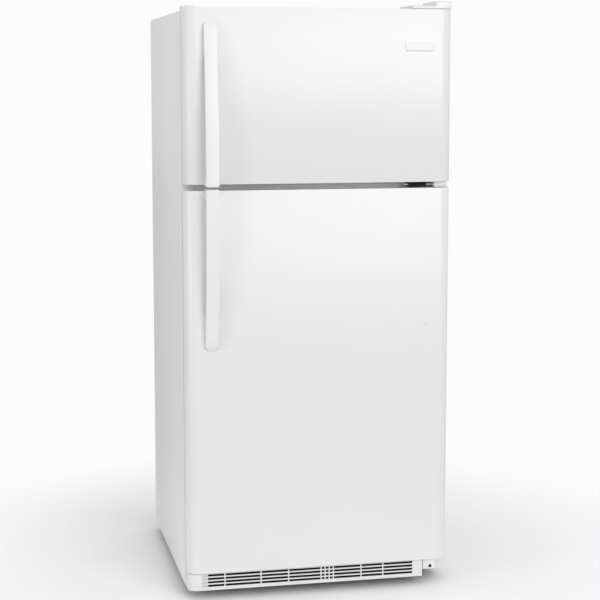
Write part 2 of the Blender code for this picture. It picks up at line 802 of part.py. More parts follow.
def top_left_plug():
    """The blanking cap over the unused hinge place."""
    left = -HALF + COVER_FROM_SIDE
    near = CABINET_Y + COVER_FROM_SIDE
    low = (left, near, CABINET_TOP + FIT)
    high = (left + TOP_PLUG_WIDTH, near + TOP_PLUG_DEPTH, CABINET_TOP + TOP_PLUG_RISE)
    block("top_left_plug", low, high, "white_plastic", bevel=0.003)


def centre_hinge():
    """A plate out of the centre rail, with a pin up and a pin down and a spacer round them."""
    middle = (FREEZER_DOOR_FOOT + FRIDGE_DOOR_TOP) / 2
    half = HINGE_PLATE / 2
    right = HALF - LOWER_HINGES_FROM_SIDE
    rear = CABINET_Y - FIT
    low = (right - HINGE_ARM - SPACER_DEPTH / 2, HINGE_Y - HINGE_BEFORE_PIN, middle - half)
    plate = block("centre_hinge", low, (right, rear, middle + half), "zinc_steel")
    left = right - CENTRE_LEG_WIDTH
    low = (left, rear - HINGE_PLATE, middle - CENTRE_LEG_HEIGHT / 2)
    high = (right - CENTRE_LEG_CLEARANCE, rear, middle + CENTRE_LEG_HEIGHT / 2)
    join(plate, block("hinge_leg", low, high, "zinc_steel"))
    low = (left, rear - CENTRE_WEB_DEPTH, middle - half)
    high = (right - CENTRE_LEG_CLEARANCE - HINGE_PLATE, rear, middle + half)
    join(plate, block("hinge_web", low, high, "zinc_steel"))
    reach = DOOR_GAP / 2 - SLIDING
    low = (right - HINGE_PLATE - SPACER_WIDTH, HINGE_Y - SPACER_DEPTH / 2, middle - reach)
    high = (right - HINGE_PLATE, HINGE_Y + SPACER_DEPTH / 2, middle + reach)
    join(plate, block("hinge_spacer", low, high, "zinc_steel"))
    length = DOOR_GAP + 2 * (PIN_BITE - HINGE_PLATE)
    start = (HINGE_X, HINGE_Y, middle - length / 2)
    join(plate, rod("centre_pin", start, (0, 0, 1), PIN_RADIUS, length))


def bottom_hinge():
    """A boxed bracket on the base with the fresh-food door's lower pin and an adjusting hole."""
    right = HALF - LOWER_HINGES_FROM_SIDE
    left = right - BOTTOM_BRACKET_WIDTH - BOTTOM_LEAF_WIDTH
    top = DOOR_FOOT - SLIDING
    foot = top - BOTTOM_BRACKET_DROP
    front = HINGE_Y - HINGE_BEFORE_PIN
    rear = CABINET_Y - FIT
    wall = HINGE_PLATE
    box_right = left + BOTTOM_BRACKET_WIDTH
    outer = ((left, front), (box_right, rear))
    inner = ((left + wall, front + wall), (box_right - wall, rear - wall))
    rings = ((*outer, top), (*outer, foot), (*inner, foot), (*inner, top - wall))
    bracket = ringed("bottom_hinge", rings, "Z", "zinc_steel")
    low = (box_right - wall / 2, front + FIT, top - wall + FIT)
    join(bracket, block("hinge_leaf", low, (right, rear - FIT, top - FIT), "zinc_steel"))
    start = (HINGE_X, HINGE_Y, top - wall / 2)
    join(bracket, rod("lower_pin", start, (0, 0, 1), PIN_RADIUS, PIN_BITE))
    across = left + BOTTOM_BRACKET_WIDTH * BOTTOM_HOLE_SHARE
    place = (across, front - PAST, top - BOTTOM_HOLE_DROP)
    cut(bracket, rod("adjusting_hole", place, (0, 1, 0), BOTTOM_HOLE_RADIUS, PAST + wall * 2))


# Doors


def door_plan(inset, rear_inset):
    """A door seen from above: square at the back, rounded at both front edges."""
    side = HALF - inset
    front = FACE_Y + inset
    radius = DOOR_CORNER - inset
    rear = DOOR_REAR_Y - rear_inset
    left = arc((-side + radius, front + radius), radius, 180, 270, 8)
    right = arc((side - radius, front + radius), radius, 270, 360, 8)
    return [(-side, rear), *left, *right, (side, rear)]


def door_skin(name, foot, top):
    """Steel bent round the front and the sides, with a narrow return at the back."""
    side = HALF - DOOR_RETURN
    rear = DOOR_REAR_Y
    outer = [(-side, rear), *door_plan(0, 0), (side, rear)]
    inner = [(-side, rear - DOOR_SKIN), *door_plan(DOOR_SKIN, DOOR_SKIN), (side, rear - DOOR_SKIN)]
    return prism(name, [*outer, *reversed(inner)], "Z", foot, top, "white_enamel")


def door_cap(name, foot, top):
    """A moulded end cap inside the skin, bored for the hinge pin."""
    inset = DOOR_SKIN + FIT
    cap = prism(name, door_plan(inset, inset), "Z", foot, top, "white_plastic")
    place = (HINGE_X, HINGE_Y, foot - PAST)
    length = CAP_HEIGHT + 2 * PAST
    return cut(cap, rod(name + "_bore", place, (0, 0, 1), PIN_RADIUS + RUNNING, length))


def door_foam(name, foot, top):
    """The foam between the end caps."""
    inset = DOOR_SKIN + FIT
    return prism(name, door_plan(inset, inset), "Z", foot, top, "foam")


def inset_ring(foot, top, side_inset, end_inset, y):
    return ((-HALF + side_inset, foot + end_inset), (HALF - side_inset, top - end_inset), y)


def room_ring(room, inset, y):
    side, floor, ceiling = room
    return ((-side + inset, floor + inset), (side - inset, ceiling - inset), y)


def door_liner(name, foot, top, room):
    """The inner panel: a flat margin for the gasket, a raised dike and a flat middle.

    The dike stands inside the room that the door closes.
    """
    base = DOOR_REAR_Y + FIT
    raised = base + DIKE_HEIGHT
    upper = [
        inset_ring(foot, top, LINER_MARGIN, LINER_MARGIN, base + LINER),
        room_ring(room, DIKE_CLEARANCE, base + LINER),
        room_ring(room, DIKE_CLEARANCE + DIKE_SLOPE, raised + LINER),
        room_ring(room, DIKE_INSET - DIKE_SLOPE, raised + LINER),
        room_ring(room, DIKE_INSET, base + LINER),
    ]
    lower = [
        room_ring(room, DIKE_INSET - LINER, base),
        room_ring(room, DIKE_INSET - DIKE_SLOPE - LINER, raised),
        room_ring(room, DIKE_CLEARANCE + DIKE_SLOPE + LINER, raised),
        room_ring(room, DIKE_CLEARANCE + LINER, base),
        inset_ring(foot, top, LINER_MARGIN, LINER_MARGIN, base),
    ]
    return ringed(name, [*lower, *upper], "Y", "liner_plastic")


def door_gasket(name, foot, top):
    """A soft magnetic frame between the inner panel and the cabinet's front.

    Its side margin keeps it on the room's side of the hinge axis, so that it swings clear.
    """
    near = LINER_FACE + FIT
    far = CABINET_Y - FIT
    places = ((0, near), (GASKET_TAPER, far), (GASKET_WIDTH - GASKET_TAPER, far), (GASKET_WIDTH, near))
    rings = [
        inset_ring(foot, top, GASKET_SIDE_MARGIN + inward, GASKET_END_MARGIN + inward, y)
        for inward, y in places
    ]
    return ringed(name, rings, "Y", "gasket_vinyl", hollow=True)


def handle(name, free_end, towards):
    """A bow that leaves the door at its far end and stands off furthest at the door gap.

    free_end is the height of its square end, and towards is the way to its far end, up or down.
    """
    face = FACE_Y - FIT
    steps = 12
    outer = []
    inner = []
    for i in range(steps + 1):
        share = i / steps
        along = HANDLE_LENGTH * (1 - share)
        reach = HANDLE_TIP + (HANDLE_REACH - FIT - HANDLE_TIP) * math.sin(share * math.pi / 2) ** 0.85
        outer.append((face - reach, along))
        if HANDLE_POST < along < HANDLE_LENGTH - HANDLE_FOOT:
            inner.append((face - reach + HANDLE_THICKNESS, along))
    side = [(face, HANDLE_LENGTH), *outer, (face, 0.0), (face, HANDLE_POST * 0.8)]
    side += [(y, along) for y, along in reversed(inner)]
    side += [(face, HANDLE_LENGTH - HANDLE_FOOT)]
    outline = [(y, free_end + towards * along) for y, along in side]
    left = HANDLE_X - HANDLE_WIDTH / 2
    bow = prism(name, outline, "X", left, left + HANDLE_WIDTH, "white_plastic")
    softened = bow.modifiers.new("soft edges", "BEVEL")
    softened.width = 0.003
    softened.segments = 2
    softened.limit_method = "ANGLE"
    softened.angle_limit = math.radians(50)
    return bow


def door_bin(name, room, foot, height):
    """An open bin between the dikes of an inner panel."""
    side = room[0] - DIKE_INSET - BIN_SIDE_GAP
    near = LINER_FACE + FIT
    high = (side, near + BIN_DEPTH, foot + height)
    return tray(name, (-side, near, foot), high, BIN_WALL, "clear_plastic")


def nameplate():
    """A blank plate at the top right of the freezer door."""
    right = HALF - BADGE_FROM_SIDE
    top = DOOR_TOP - BADGE_FROM_TOP
    low = (right - BADGE_WIDTH, FACE_Y - FIT - BADGE_THICKNESS, top - BADGE_HEIGHT)
    return block("nameplate", low, (right, FACE_Y - FIT, top), "badge_metal", bevel=0.0004)


def handle_hole_plug():
    """The button in the hole that a handle on the other side would use."""
    height = FRIDGE_DOOR_TOP + HANDLE_OVERHANG - HANDLE_LENGTH + HANDLE_SCREW_IN
    profile = (
        (0, 0),
        (PLUG_RADIUS, 0),
        (PLUG_RADIUS, PLUG_HEIGHT / 2),
        (PLUG_RADIUS * 0.7, PLUG_HEIGHT),
        (0, PLUG_HEIGHT),
    )
    place = (-HANDLE_X, FACE_Y - FIT, height)
    return turned("handle_hole_plug", profile, place, (0, -1, 0), "white_plastic")


def door_core(prefix, foot, top, room):
    """What both doors share, from the skin to the gasket."""
    cap_top = top - CAP_SINK
    cap_foot = foot + CAP_SINK
    upper = cap_top - CAP_HEIGHT
    lower = cap_foot + CAP_HEIGHT
    return [
        door_skin(prefix + "_skin", foot, top),
        door_cap(prefix + "_top_cap", upper, cap_top),
        door_cap(prefix + "_bottom_cap", cap_foot, lower),
        door_foam(prefix + "_foam", lower + FIT, upper - FIT),
        door_liner(prefix + "_liner", foot, top, room),
        door_gasket(prefix + "_gasket", foot, top),
    ]


def freezer_door():
    foot = FREEZER_DOOR_FOOT
    room_foot = FREEZER_FLOOR + DIKE_INSET
    room_height = FREEZER_CEILING - DIKE_INSET - room_foot
    pieces = door_core("freezer_door", foot, DOOR_TOP, FREEZER_ROOM)
    pieces.append(handle("freezer_handle", foot - HANDLE_OVERHANG, 1))
    lower = room_foot + BIN_SIDE_GAP
    pieces.append(door_bin("freezer_door_lower_bin", FREEZER_ROOM, lower, BIN_HEIGHT))
    upper = room_foot + room_height * 0.55
    pieces.append(door_bin("freezer_door_upper_bin", FREEZER_ROOM, upper, BIN_HEIGHT))
    pieces.append(nameplate())
    hang("freezer_door_axis", (HINGE_X, HINGE_Y, foot), pieces)


def fridge_door():
    foot = DOOR_FOOT
    top = FRIDGE_DOOR_TOP
    lower = FRIDGE_FLOOR + DIKE_INSET + BIN_SIDE_GAP
    pieces = door_core("fridge_door", foot, top, FRIDGE_ROOM)
    pieces.append(handle("fridge_handle", top + HANDLE_OVERHANG, -1))
    pieces.append(door_bin("fridge_door_lower_bin", FRIDGE_ROOM, lower, GALLON_BIN_HEIGHT))
    upper = (lower + GALLON_BIN_HEIGHT + dairy_axis()[2] - DAIRY_RADIUS - BIN_HEIGHT) / 2
    pieces.append(door_bin("fridge_door_upper_bin", FRIDGE_ROOM, upper, BIN_HEIGHT))
    pieces.append(dairy_tray())
    pieces.append(handle_hole_plug())
    hang("fridge_door_axis", (HINGE_X, HINGE_Y, foot), pieces)
    hang("dairy_cover_axis", dairy_axis(), [dairy_cover()])


def dairy_axis():
    """The cover's pivot, low enough for the open cover to clear the top of the dike."""
    top = FRIDGE_CEILING - DIKE_INSET - BIN_SIDE_GAP
    return (0, LINER_FACE + 0.006, top - DAIRY_RADIUS)


def dairy_side():
    return FRIDGE_X - DIKE_INSET - BIN_SIDE_GAP


def dairy_tray():
    """The shallow tray under the dairy cover."""
    top = dairy_axis()[2] - DAIRY_RADIUS - SLIDING
    near = LINER_FACE + FIT
    low = (-dairy_side(), near, top - DAIRY_TRAY)
    high = (dairy_side(), near + DAIRY_RADIUS, top)
    return tray("dairy_tray", low, high, BIN_WALL, "clear_plastic")


def quarter(radius, rear, foot):
    """A quarter disc over the dairy tray, from its front edge up to the cover's axis."""
    _, y, z = dairy_axis()
    centre = z - DAIRY_RADIUS
    rim = arc((y, centre), radius, 0, 90, 8)
    return [(y - rear, centre - foot), (y + radius, centre - foot), *rim, (y - rear, centre + radius)]


def dairy_cover():
    """A quarter-round cover with two cheeks, which turns up about its top rear edge."""
    side = dairy_side()
    outline = quarter(DAIRY_RADIUS, DAIRY_REACH, 0)
    cover = prism("dairy_cover", outline, "X", -side, side, "clear_plastic")
    wall = BIN_WALL
    hollow = quarter(DAIRY_RADIUS - wall, PAST, PAST)
    return cut(cover, prism("dairy_hollow", hollow, "X", -side + wall, side - wall, "clear_plastic"))


# Inside the freezer


def freezer_shelf_foot():
    return FREEZER_FLOOR + FREEZER_SHELF_RISE


def shelf(name, half_width, foot, rear, finish_name):
    """A flat shelf with a deeper trim along its front."""
    front = CABINET_Y + SHELF_FRONT_GAP
    low = (-half_width, front, foot)
    board = block(name, low, (half_width, rear, foot + SHELF_THICKNESS), finish_name)
    trim_half = half_width - LEDGE_REACH - SLIDING
    low = (-trim_half, front - SHELF_TRIM_BEFORE, foot - SHELF_TRIM / 2)
    high = (trim_half, front + SHELF_TRIM_BEHIND, foot + SHELF_TRIM / 2)
    join(board, block(name + "_trim", low, high, finish_name))


def evaporator_cover():
    """The panel that hides the evaporator, open round the fan and along its foot."""
    side = FREEZER_X - FIT
    near = EVAPORATOR_COVER_Y
    low = (-side, near, FREEZER_FLOOR + FIT)
    high = (side, near + EVAPORATOR_COVER, FREEZER_CEILING - FIT)
    panel = block("evaporator_cover", low, high, "liner_plastic")
    x, _, z = evaporator_fan_place()
    start = (x, near - PAST, z)
    cut(panel, rod("fan_opening", start, (0, 1, 0), FAN_OPENING, EVAPORATOR_COVER + 2 * PAST))
    width = 2 * side / (2 * RETURN_SLOTS + 1)
    foot = FREEZER_FLOOR + RETURN_SLOT_RISE
    corners = []
    for i in range(RETURN_SLOTS):
        start = -side + width * (2 * i + 1)
        low = (start, near - PAST, foot)
        high = (start + width, near + EVAPORATOR_COVER + PAST, foot + RETURN_SLOT_HEIGHT)
        corners.append((low, high))
    cut(panel, blocks("return_slots", corners, "liner_plastic"))


def evaporator_fan_place():
    y = EVAPORATOR_COVER_Y + EVAPORATOR_COVER + FAN_BEHIND_COVER
    return (0, y, FREEZER_CEILING - FAN_OPENING - FAN_FROM_CEILING)


def evaporator():
    """A serpentine tube across the back of the freezer."""
    y = (EVAPORATOR_COVER_Y + EVAPORATOR_COVER + FREEZER_BACK) / 2
    foot = FREEZER_FLOOR + EVAPORATOR_RISE
    side = FREEZER_X - EVAPORATOR_FROM_SIDE
    radius = EVAPORATOR_PITCH / 2
    points = []
    for i in range(EVAPORATOR_PASSES):
        z = foot + i * EVAPORATOR_PITCH
        way = 1 if i % 2 == 0 else -1
        points += [(-way * side, y, z), (way * side, y, z)]
        if i + 1 < EVAPORATOR_PASSES:
            bend = arc((0, z + radius), radius, -90, 90, 6)[1:-1]
            points += [(way * (side + out), y, height) for out, height in bend]
    pipe("evaporator", points, EVAPORATOR_TUBE, "aluminium")


def fan(name, place, axis, radius, hub, width, finish_name):
    """A hub whose sides grow blades, each set at a slant."""
    sides = FAN_BLADES * 2
    shape = bmesh.new()
    bmesh.ops.create_cone(
        shape, cap_ends=True, segments=sides, radius1=hub, radius2=hub, depth=width
    )
    walls = [face for face in shape.faces if abs(face.normal.z) < 0.5]
    walls.sort(key=lambda face: math.atan2(face.normal.y, face.normal.x))
    for face in walls[::2]:
        outward = face.normal.copy()
        blade = bmesh.ops.extrude_discrete_faces(shape, faces=[face])["faces"][0]
        bmesh.ops.translate(shape, vec=outward * (radius - hub), verts=blade.verts)
        middle = blade.calc_center_median()
        turn = Matrix.Rotation(math.radians(FAN_SLANT), 3, outward)
        bmesh.ops.rotate(shape, cent=middle, matrix=turn, verts=blade.verts)
        bmesh.ops.scale(shape, vec=(1, 1, 0.7), space=Matrix.Translation(-middle), verts=blade.verts)
    bmesh.ops.transform(shape, matrix=standing(place, axis), verts=shape.verts)
    return add(name, shape, finish_name)


def evaporator_fan():
    place = evaporator_fan_place()
    x, y, z = place
    place = (x, y + FAN_WIDTH / 2, z)
    rotor = fan("evaporator_fan", place, (0, 1, 0), FAN_RADIUS, FAN_HUB, FAN_WIDTH, "black_plastic")
    hang("evaporator_fan_axis", place, [rotor])
    start = (x, y + FAN_WIDTH + RUNNING, z)
    length = FREEZER_BACK - FIT - start[1]
    motor = rod("evaporator_fan_motor", start, (0, 1, 0), MOTOR_RADIUS, length, "zinc_steel")
    rear = FREEZER_BACK - FIT
    low = (-MOTOR_STRAP_WIDTH / 2, rear - MOTOR_BRACKET, z - MOTOR_STRAP_HEIGHT / 2)
    high = (MOTOR_STRAP_WIDTH / 2, rear, z + MOTOR_STRAP_HEIGHT / 2)
    join(motor, block("motor_strap", low, high, "zinc_steel"))


# Inside the fresh-food room


def shelf_feet():
    """Two shelves that share the room between the crisper cover and the control box."""
    foot = COVER_FOOT + CRISPER_COVER
    room = CONTROL_FOOT - foot
    return (foot + room / 3, foot + room * 2 / 3)


def control_box():
    """A hollow housing against the ceiling, with bores for the two knobs."""
    front = control_front()
    low = (-CONTROL_WIDTH / 2, front, CONTROL_FOOT)
    high = (CONTROL_WIDTH / 2, front + CONTROL_DEPTH, FRIDGE_CEILING - FIT)
    box = tray("control_box", low, high, CONTROL_WALL, "white_plastic")
    for side in (-1, 1):
        x, y, z = knob_place(side)
        bore = KNOB_SHAFT + RUNNING
        cut(box, rod("knob_bore", (x, y - PAST, z), (0, 1, 0), bore, PAST + KNOB_SHAFT_LENGTH))


def control_front():
    return CABINET_Y + CONTROL_SET_BACK


def knob_place(side):
    return (side * KNOB_SPACING / 2, control_front(), CONTROL_FOOT + CONTROL_HEIGHT / 2)


def knob(name, side):
    """A stepped dial with its shaft, pointing out at the user."""
    depth = KNOB_DEPTH
    profile = (
        (0, -KNOB_SHAFT_LENGTH),
        (KNOB_SHAFT, -KNOB_SHAFT_LENGTH),
        (KNOB_SHAFT, FIT),
        (KNOB_RADIUS, FIT),
        (KNOB_RADIUS, depth * 0.3),
        (KNOB_RADIUS * 0.72, depth * 0.4),
        (KNOB_RADIUS * 0.62, depth),
        (0, depth),
    )
    place = knob_place(side)
    dial = turned(name, profile, place, (0, -1, 0), "white_plastic", sides=24)
    hang(name + "_axis", place, [dial])


def lamp():
    """A bulb behind the control box."""
    neck = BULB_BASE_LENGTH * 1.5
    profile = (
        (0, 0),
        (BULB_BASE_RADIUS, 0),
        (BULB_BASE_RADIUS, BULB_BASE_LENGTH),
        (BULB_BASE_RADIUS * 1.25, neck),
        (BULB_RADIUS, BULB_LENGTH * 0.64),
        (BULB_RADIUS, BULB_LENGTH * 0.77),
        (BULB_RADIUS * 0.7, BULB_LENGTH * 0.94),
        (0, BULB_LENGTH),
    )
    y = control_front() + CONTROL_DEPTH + FIT
    place = (0, y, CONTROL_FOOT + CONTROL_HEIGHT / 2)
    turned("lamp", profile, place, (0, 1, 0), "bulb_glass", sides=16)


def light_switch():
    """A plunger that the inner panel of the fresh-food door holds in."""
    x, y, z = switch_place()
    tip = LINER_FACE + SLIDING / 2
    length = y + SWITCH_LENGTH - SWITCH_TRAVEL - tip
    place = (x, tip, z)
    plunger = rod("light_switch", place, (0, 1, 0), SWITCH_RADIUS, length, "white_plastic", 16)
    hang("light_switch_axis", place, [plunger])


def crisper_cover():
    """The pane over both drawers."""
    side = FRIDGE_X - FIT
    front = CABINET_Y + CRISPER_SET_BACK - CRISPER_COVER / 2
    low = (-side, front, COVER_FOOT)
    high = (side, FRIDGE_BACK - FIT, COVER_FOOT + CRISPER_COVER)
    block("crisper_cover", low, high, "shelf_glass")


def drawer_reach():
    """How far to the side a drawer reaches: past the ledges, and past the open door's gasket."""
    across = GASKET_SIDE_MARGIN + GASKET_WIDTH - HINGE_FROM_SIDE
    swing = math.hypot(across, CABINET_Y - HINGE_Y)
    return min(FRIDGE_X - LEDGE_REACH, HINGE_X - swing) - SLIDING


def crisper(name, side):
    """A drawer with a grip along the top of its front."""
    near = CABINET_Y + CRISPER_SET_BACK
    inner = CRISPER_SPACING / 2
    outer = drawer_reach()
    left = inner if side > 0 else -outer
    right = outer if side > 0 else -inner
    top = CRISPER_FOOT + CRISPER_HEIGHT
    low = (left, near, CRISPER_FOOT)
    drawer = tray(name, low, (right, near + CRISPER_DEPTH, top), CRISPER_WALL, "clear_plastic")
    grip_top = top - CRISPER_GRIP_HEIGHT
    low = (left + CRISPER_GRIP_FROM_SIDE, near - CRISPER_GRIP, grip_top - CRISPER_GRIP_HEIGHT)
    high = (right - CRISPER_GRIP_FROM_SIDE, near + CRISPER_WALL / 2, grip_top)
    join(drawer, block(name + "_grip", low, high, "clear_plastic"))
    hang(name + "_slide", ((left + right) / 2, near, CRISPER_FOOT), [drawer])


# Underneath and behind


def rollers():
    for side, name in ((-1, "rear_left_roller"), (1, "rear_right_roller")):
        x, y, z = roller_place(side)
        half = ROLLER_WIDTH / 2
        grip = half + SLIDING + AXLE_GRIP
        profile = (
            (0, -grip),
            (AXLE_RADIUS, -grip),
            (AXLE_RADIUS, -half),
            (ROLLER_RADIUS, -half),
            (ROLLER_RADIUS, half),
            (AXLE_RADIUS, half),
            (AXLE_RADIUS, grip),
            (0, grip),
        )
        wheel = turned(name, profile, (x, y, z), (1, 0, 0), "black_plastic", sides=24)
        hang(name + "_axis", (x, y, z), [wheel])


def levelling_legs():
    for side, name in ((-1, "left_levelling_leg"), (1, "right_levelling_leg")):
        place = leg_place(side)
        profile = (
            (0, 0),
            (LEG_PAD_RADIUS, 0),
            (LEG_PAD_RADIUS, LEG_PAD_HEIGHT * 0.6),
            (LEG_PAD_RADIUS * 0.7, LEG_PAD_HEIGHT),
            (LEG_RADIUS, LEG_PAD_HEIGHT),
            (LEG_RADIUS, FOAM_FLOOR - 0.006),
            (0, FOAM_FLOOR - 0.006),
        )
        leg = turned(name, profile, place, (0, 0, 1), "zinc_steel", sides=24)
        hang(name + "_axis", place, [leg])


def machine_middle():
    return (MACHINE_Y + BACK_Y) / 2 + 0.004


def compressor():
    """A domed steel can with a welded belt, on a plate."""
    x = HALF - COMPRESSOR_FROM_SIDE
    y = machine_middle()
    radius = COMPRESSOR_RADIUS
    top = COMPRESSOR_HEIGHT
    profile = (
        (0, top * 0.07),
        (radius * 0.7, top * 0.07),
        (radius, top * 0.27),
        (radius, top * 0.5),
        (radius * 1.03, top * 0.5),
        (radius * 1.03, top * 0.55),
        (radius, top * 0.55),
        (radius, top * 0.7),
        (radius * 0.8, top * 0.92),
        (radius * 0.4, top),
        (0, top),
    )
    foot = MACHINE_FLOOR + FIT
    can = turned("compressor", profile, (x, y, foot), (0, 0, 1), "black_enamel")
    reach = radius + COMPRESSOR_FOOT_REACH
    low = (x - reach, y - COMPRESSOR_FOOT_DEPTH / 2, foot)
    high = (x + reach, y + COMPRESSOR_FOOT_DEPTH / 2, foot + COMPRESSOR_FOOT_HEIGHT)
    join(can, block("compressor_feet", low, high, "black_enamel"))


def condenser_coil():
    """A serpentine that goes up in layers, beside the fan."""
    left = pan_left() + CONDENSER_TUBE * 2
    right = left + CONDENSER_LENGTH
    start_y = machine_middle() - CONDENSER_PITCH * (CONDENSER_PASSES - 1) / 2
    start_z = MACHINE_FLOOR + DRAIN_PAN_HEIGHT + CONDENSER_OVER_PAN
    points = []
    for layer in range(CONDENSER_LAYERS):
        z = start_z + layer * CONDENSER_LAYER_PITCH
        order = range(CONDENSER_PASSES)
        if layer % 2:
            order = reversed(order)
        for step in order:
            y = start_y + step * CONDENSER_PITCH
            outward = len(points) // 2 % 2 == 0
            ends = (left, right) if outward else (right, left)
            points += [(end, y, z) for end in ends]
    pipe("condenser_coil", rounded(points, CONDENSER_TUBE * 3), CONDENSER_TUBE, "black_enamel")


def rounded(points, radius):
    """The same route with every corner cut to a short bend."""
    path = [Vector(points[0])]
    for before, corner, after in zip(points, points[1:], points[2:], strict=False):
        corner = Vector(corner)
        path.append(corner + (Vector(before) - corner).normalized() * radius)
        bend = (Vector(before) - corner).normalized() + (Vector(after) - corner).normalized()
        path.append(corner + bend * radius * 0.29)
        path.append(corner + (Vector(after) - corner).normalized() * radius)
    return [*path, Vector(points[-1])]


def cooling_fan():
    """The fan over the condenser, and its motor on a post."""
    x = -HALF + COOLING_FAN_FROM_SIDE
    y = machine_middle()
    z = MACHINE_FLOOR + COOLING_FAN_RADIUS + COOLING_FAN_LIFT
    place = (x, y, z)
    radius = COOLING_FAN_RADIUS
    rotor = fan("condenser_fan", place, (1, 0, 0), radius, FAN_HUB, FAN_WIDTH, "black_plastic")
    hang("condenser_fan_axis", place, [rotor])
    near = x + FAN_WIDTH / 2 + RUNNING
    foot = MACHINE_FLOOR + FIT
    motor = rod("condenser_fan_motor", (near, y, z), (1, 0, 0), MOTOR_RADIUS, MOTOR_LENGTH)
    post = near + MOTOR_LENGTH / 3
    low = (post, y - MOTOR_POST_WIDTH / 2, foot)
    high = (post + MOTOR_BRACKET, y + MOTOR_POST_WIDTH / 2, z)
    join(motor, block("motor_post", low, high, "zinc_steel"))
    low = (near + MOTOR_BRACKET, y - MOTOR_FOOT_WIDTH / 2, foot)
    high = (near + MOTOR_LENGTH, y + MOTOR_FOOT_WIDTH / 2, foot + MOTOR_BRACKET)
    join(motor, block("motor_foot", low, high, "zinc_steel"))


def pan_left():
    return -rail_x() + FRAME_RAIL_WIDTH / 2 + SLIDING


def drain_pan():
    """The pan under the condenser that catches the defrost water."""
    left = pan_left()
    foot = MACHINE_FLOOR + FIT
    low = (left, MACHINE_Y + PAN_FROM_FRONT, foot)
    high = (left + CONDENSER_LENGTH, BACK_Y - PAN_FROM_BACK, foot + DRAIN_PAN_HEIGHT)
    tray("drain_pan", low, high, BIN_WALL, "black_plastic")


def machine_cover():
    """The board over the machine space, with air slots and the mains lead's hole."""
    side = HALF - SHEET - FIT
    low = (-side, BACK_Y - BOARD_THICKNESS, SIDE_FOOT + BOARD_LIFT)
    high = (side, BACK_Y, MACHINE_HEIGHT - FIT)
    board = block("machine_cover", low, high, "fibreboard")
    near = BACK_Y - PAST
    far = BACK_Y + PAST
    corners = []
    for column in range(2):
        left = -side + AIR_SLOT_FROM_SIDE + column * (side - AIR_SLOT_FROM_SIDE / 6)
        right = left + side * AIR_SLOT_SHARE
        for row in range(AIR_SLOT_ROWS):
            foot = AIR_SLOT_FOOT + row * AIR_SLOT_PITCH
            corners.append(((left, near, foot), (right, far, foot + AIR_SLOT_HEIGHT)))
    cut(board, blocks("air_slots", corners, "fibreboard"))
    place = (side - CORD_HOLE_FROM_SIDE, near, CORD_HOLE_HEIGHT)
    cut(board, rod("cord_hole", place, (0, 1, 0), CORD_HOLE_RADIUS, 2 * PAST))


def main():
    clear_scene()
    outer_wrapper()
    rear_panel()
    cabinet_foam()
    freezer_liner()
    fridge_liner()
    centre_rail()
    base_frame()
    toe_grille()
    top_hinge()
    top_hinge_cover()
    top_left_plug()
    centre_hinge()
    bottom_hinge()
    freezer_door()
    fridge_door()
    evaporator_cover()
    evaporator()
    evaporator_fan()
    rear = EVAPORATOR_COVER_Y - SLIDING
    shelf("freezer_shelf", FREEZER_X - FIT, freezer_shelf_foot(), rear, "white_plastic")
    for name, foot in zip(("lower_shelf", "upper_shelf"), shelf_feet(), strict=True):
        shelf(name, FRIDGE_X - FIT, foot, FRIDGE_BACK - SLIDING, "shelf_glass")
    control_box()
    knob("freezer_control_knob", -1)
    knob("fridge_control_knob", 1)
    lamp()
    light_switch()
    crisper_cover()
    crisper("left_crisper", -1)
    crisper("right_crisper", 1)
    rollers()
    levelling_legs()
    compressor()
    condenser_coil()
    cooling_fan()
    drain_pan()
    machine_cover()


main()
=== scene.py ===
"""A top-freezer refrigerator, finished: enamelled doors and cabinet, moulded fittings, and both rooms."""

import json
import math

import bpy
from bpy.props import FloatProperty, FloatVectorProperty, IntProperty, PointerProperty
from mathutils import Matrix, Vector


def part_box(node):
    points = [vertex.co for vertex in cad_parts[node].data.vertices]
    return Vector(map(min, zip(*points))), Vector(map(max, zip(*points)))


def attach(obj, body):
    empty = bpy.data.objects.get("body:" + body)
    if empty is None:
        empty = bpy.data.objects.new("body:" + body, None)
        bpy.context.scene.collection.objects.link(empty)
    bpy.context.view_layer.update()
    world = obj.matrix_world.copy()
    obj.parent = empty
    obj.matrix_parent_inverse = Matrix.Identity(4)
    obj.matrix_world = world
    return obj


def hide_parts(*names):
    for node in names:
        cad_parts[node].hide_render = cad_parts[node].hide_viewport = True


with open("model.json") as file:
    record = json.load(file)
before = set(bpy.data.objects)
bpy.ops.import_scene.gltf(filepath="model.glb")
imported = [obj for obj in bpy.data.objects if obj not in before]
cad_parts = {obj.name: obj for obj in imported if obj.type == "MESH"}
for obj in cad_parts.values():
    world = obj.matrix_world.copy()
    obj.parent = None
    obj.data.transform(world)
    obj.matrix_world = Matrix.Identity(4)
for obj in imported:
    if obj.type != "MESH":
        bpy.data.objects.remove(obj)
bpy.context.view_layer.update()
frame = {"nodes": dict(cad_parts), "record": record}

bl_info = {
    "name": "Top Freezer Refrigerator",
    "version": (1, 0, 0),
    "blender": (4, 5, 0),
    "location": "View3D > Sidebar > Refrigerator",
    "description": "Finishes the packed refrigerator: enamel, mouldings, shelves, drawers and studio",
    "category": "Object",
}

NODES = frame["nodes"]

# A piece stands this far off its neighbour, and a place is the same within this much.
HAIR = 0.0003
TOUCH = 0.0005
# A face or an edge points along an axis when its share along it is over this.
ALONG = 0.9

SCREW_HEAD = 0.0045
SHELF_FOOT = 0.008
SHELF_BOARD = 0.006
LINER_LIP = 0.002
LINER_WALL = 0.0015
DRAWER_CLEARANCE = 0.0015
LEDGE_DEPTH = 0.010
LEDGE_HEIGHT = 0.0083
LEDGE_SET_BACK = 0.006


# Sizes and colours that a user would change


def length_setting(name, description, default, precision=4):
    return FloatProperty(
        name=name, description=description, default=default, unit="LENGTH", precision=precision
    )


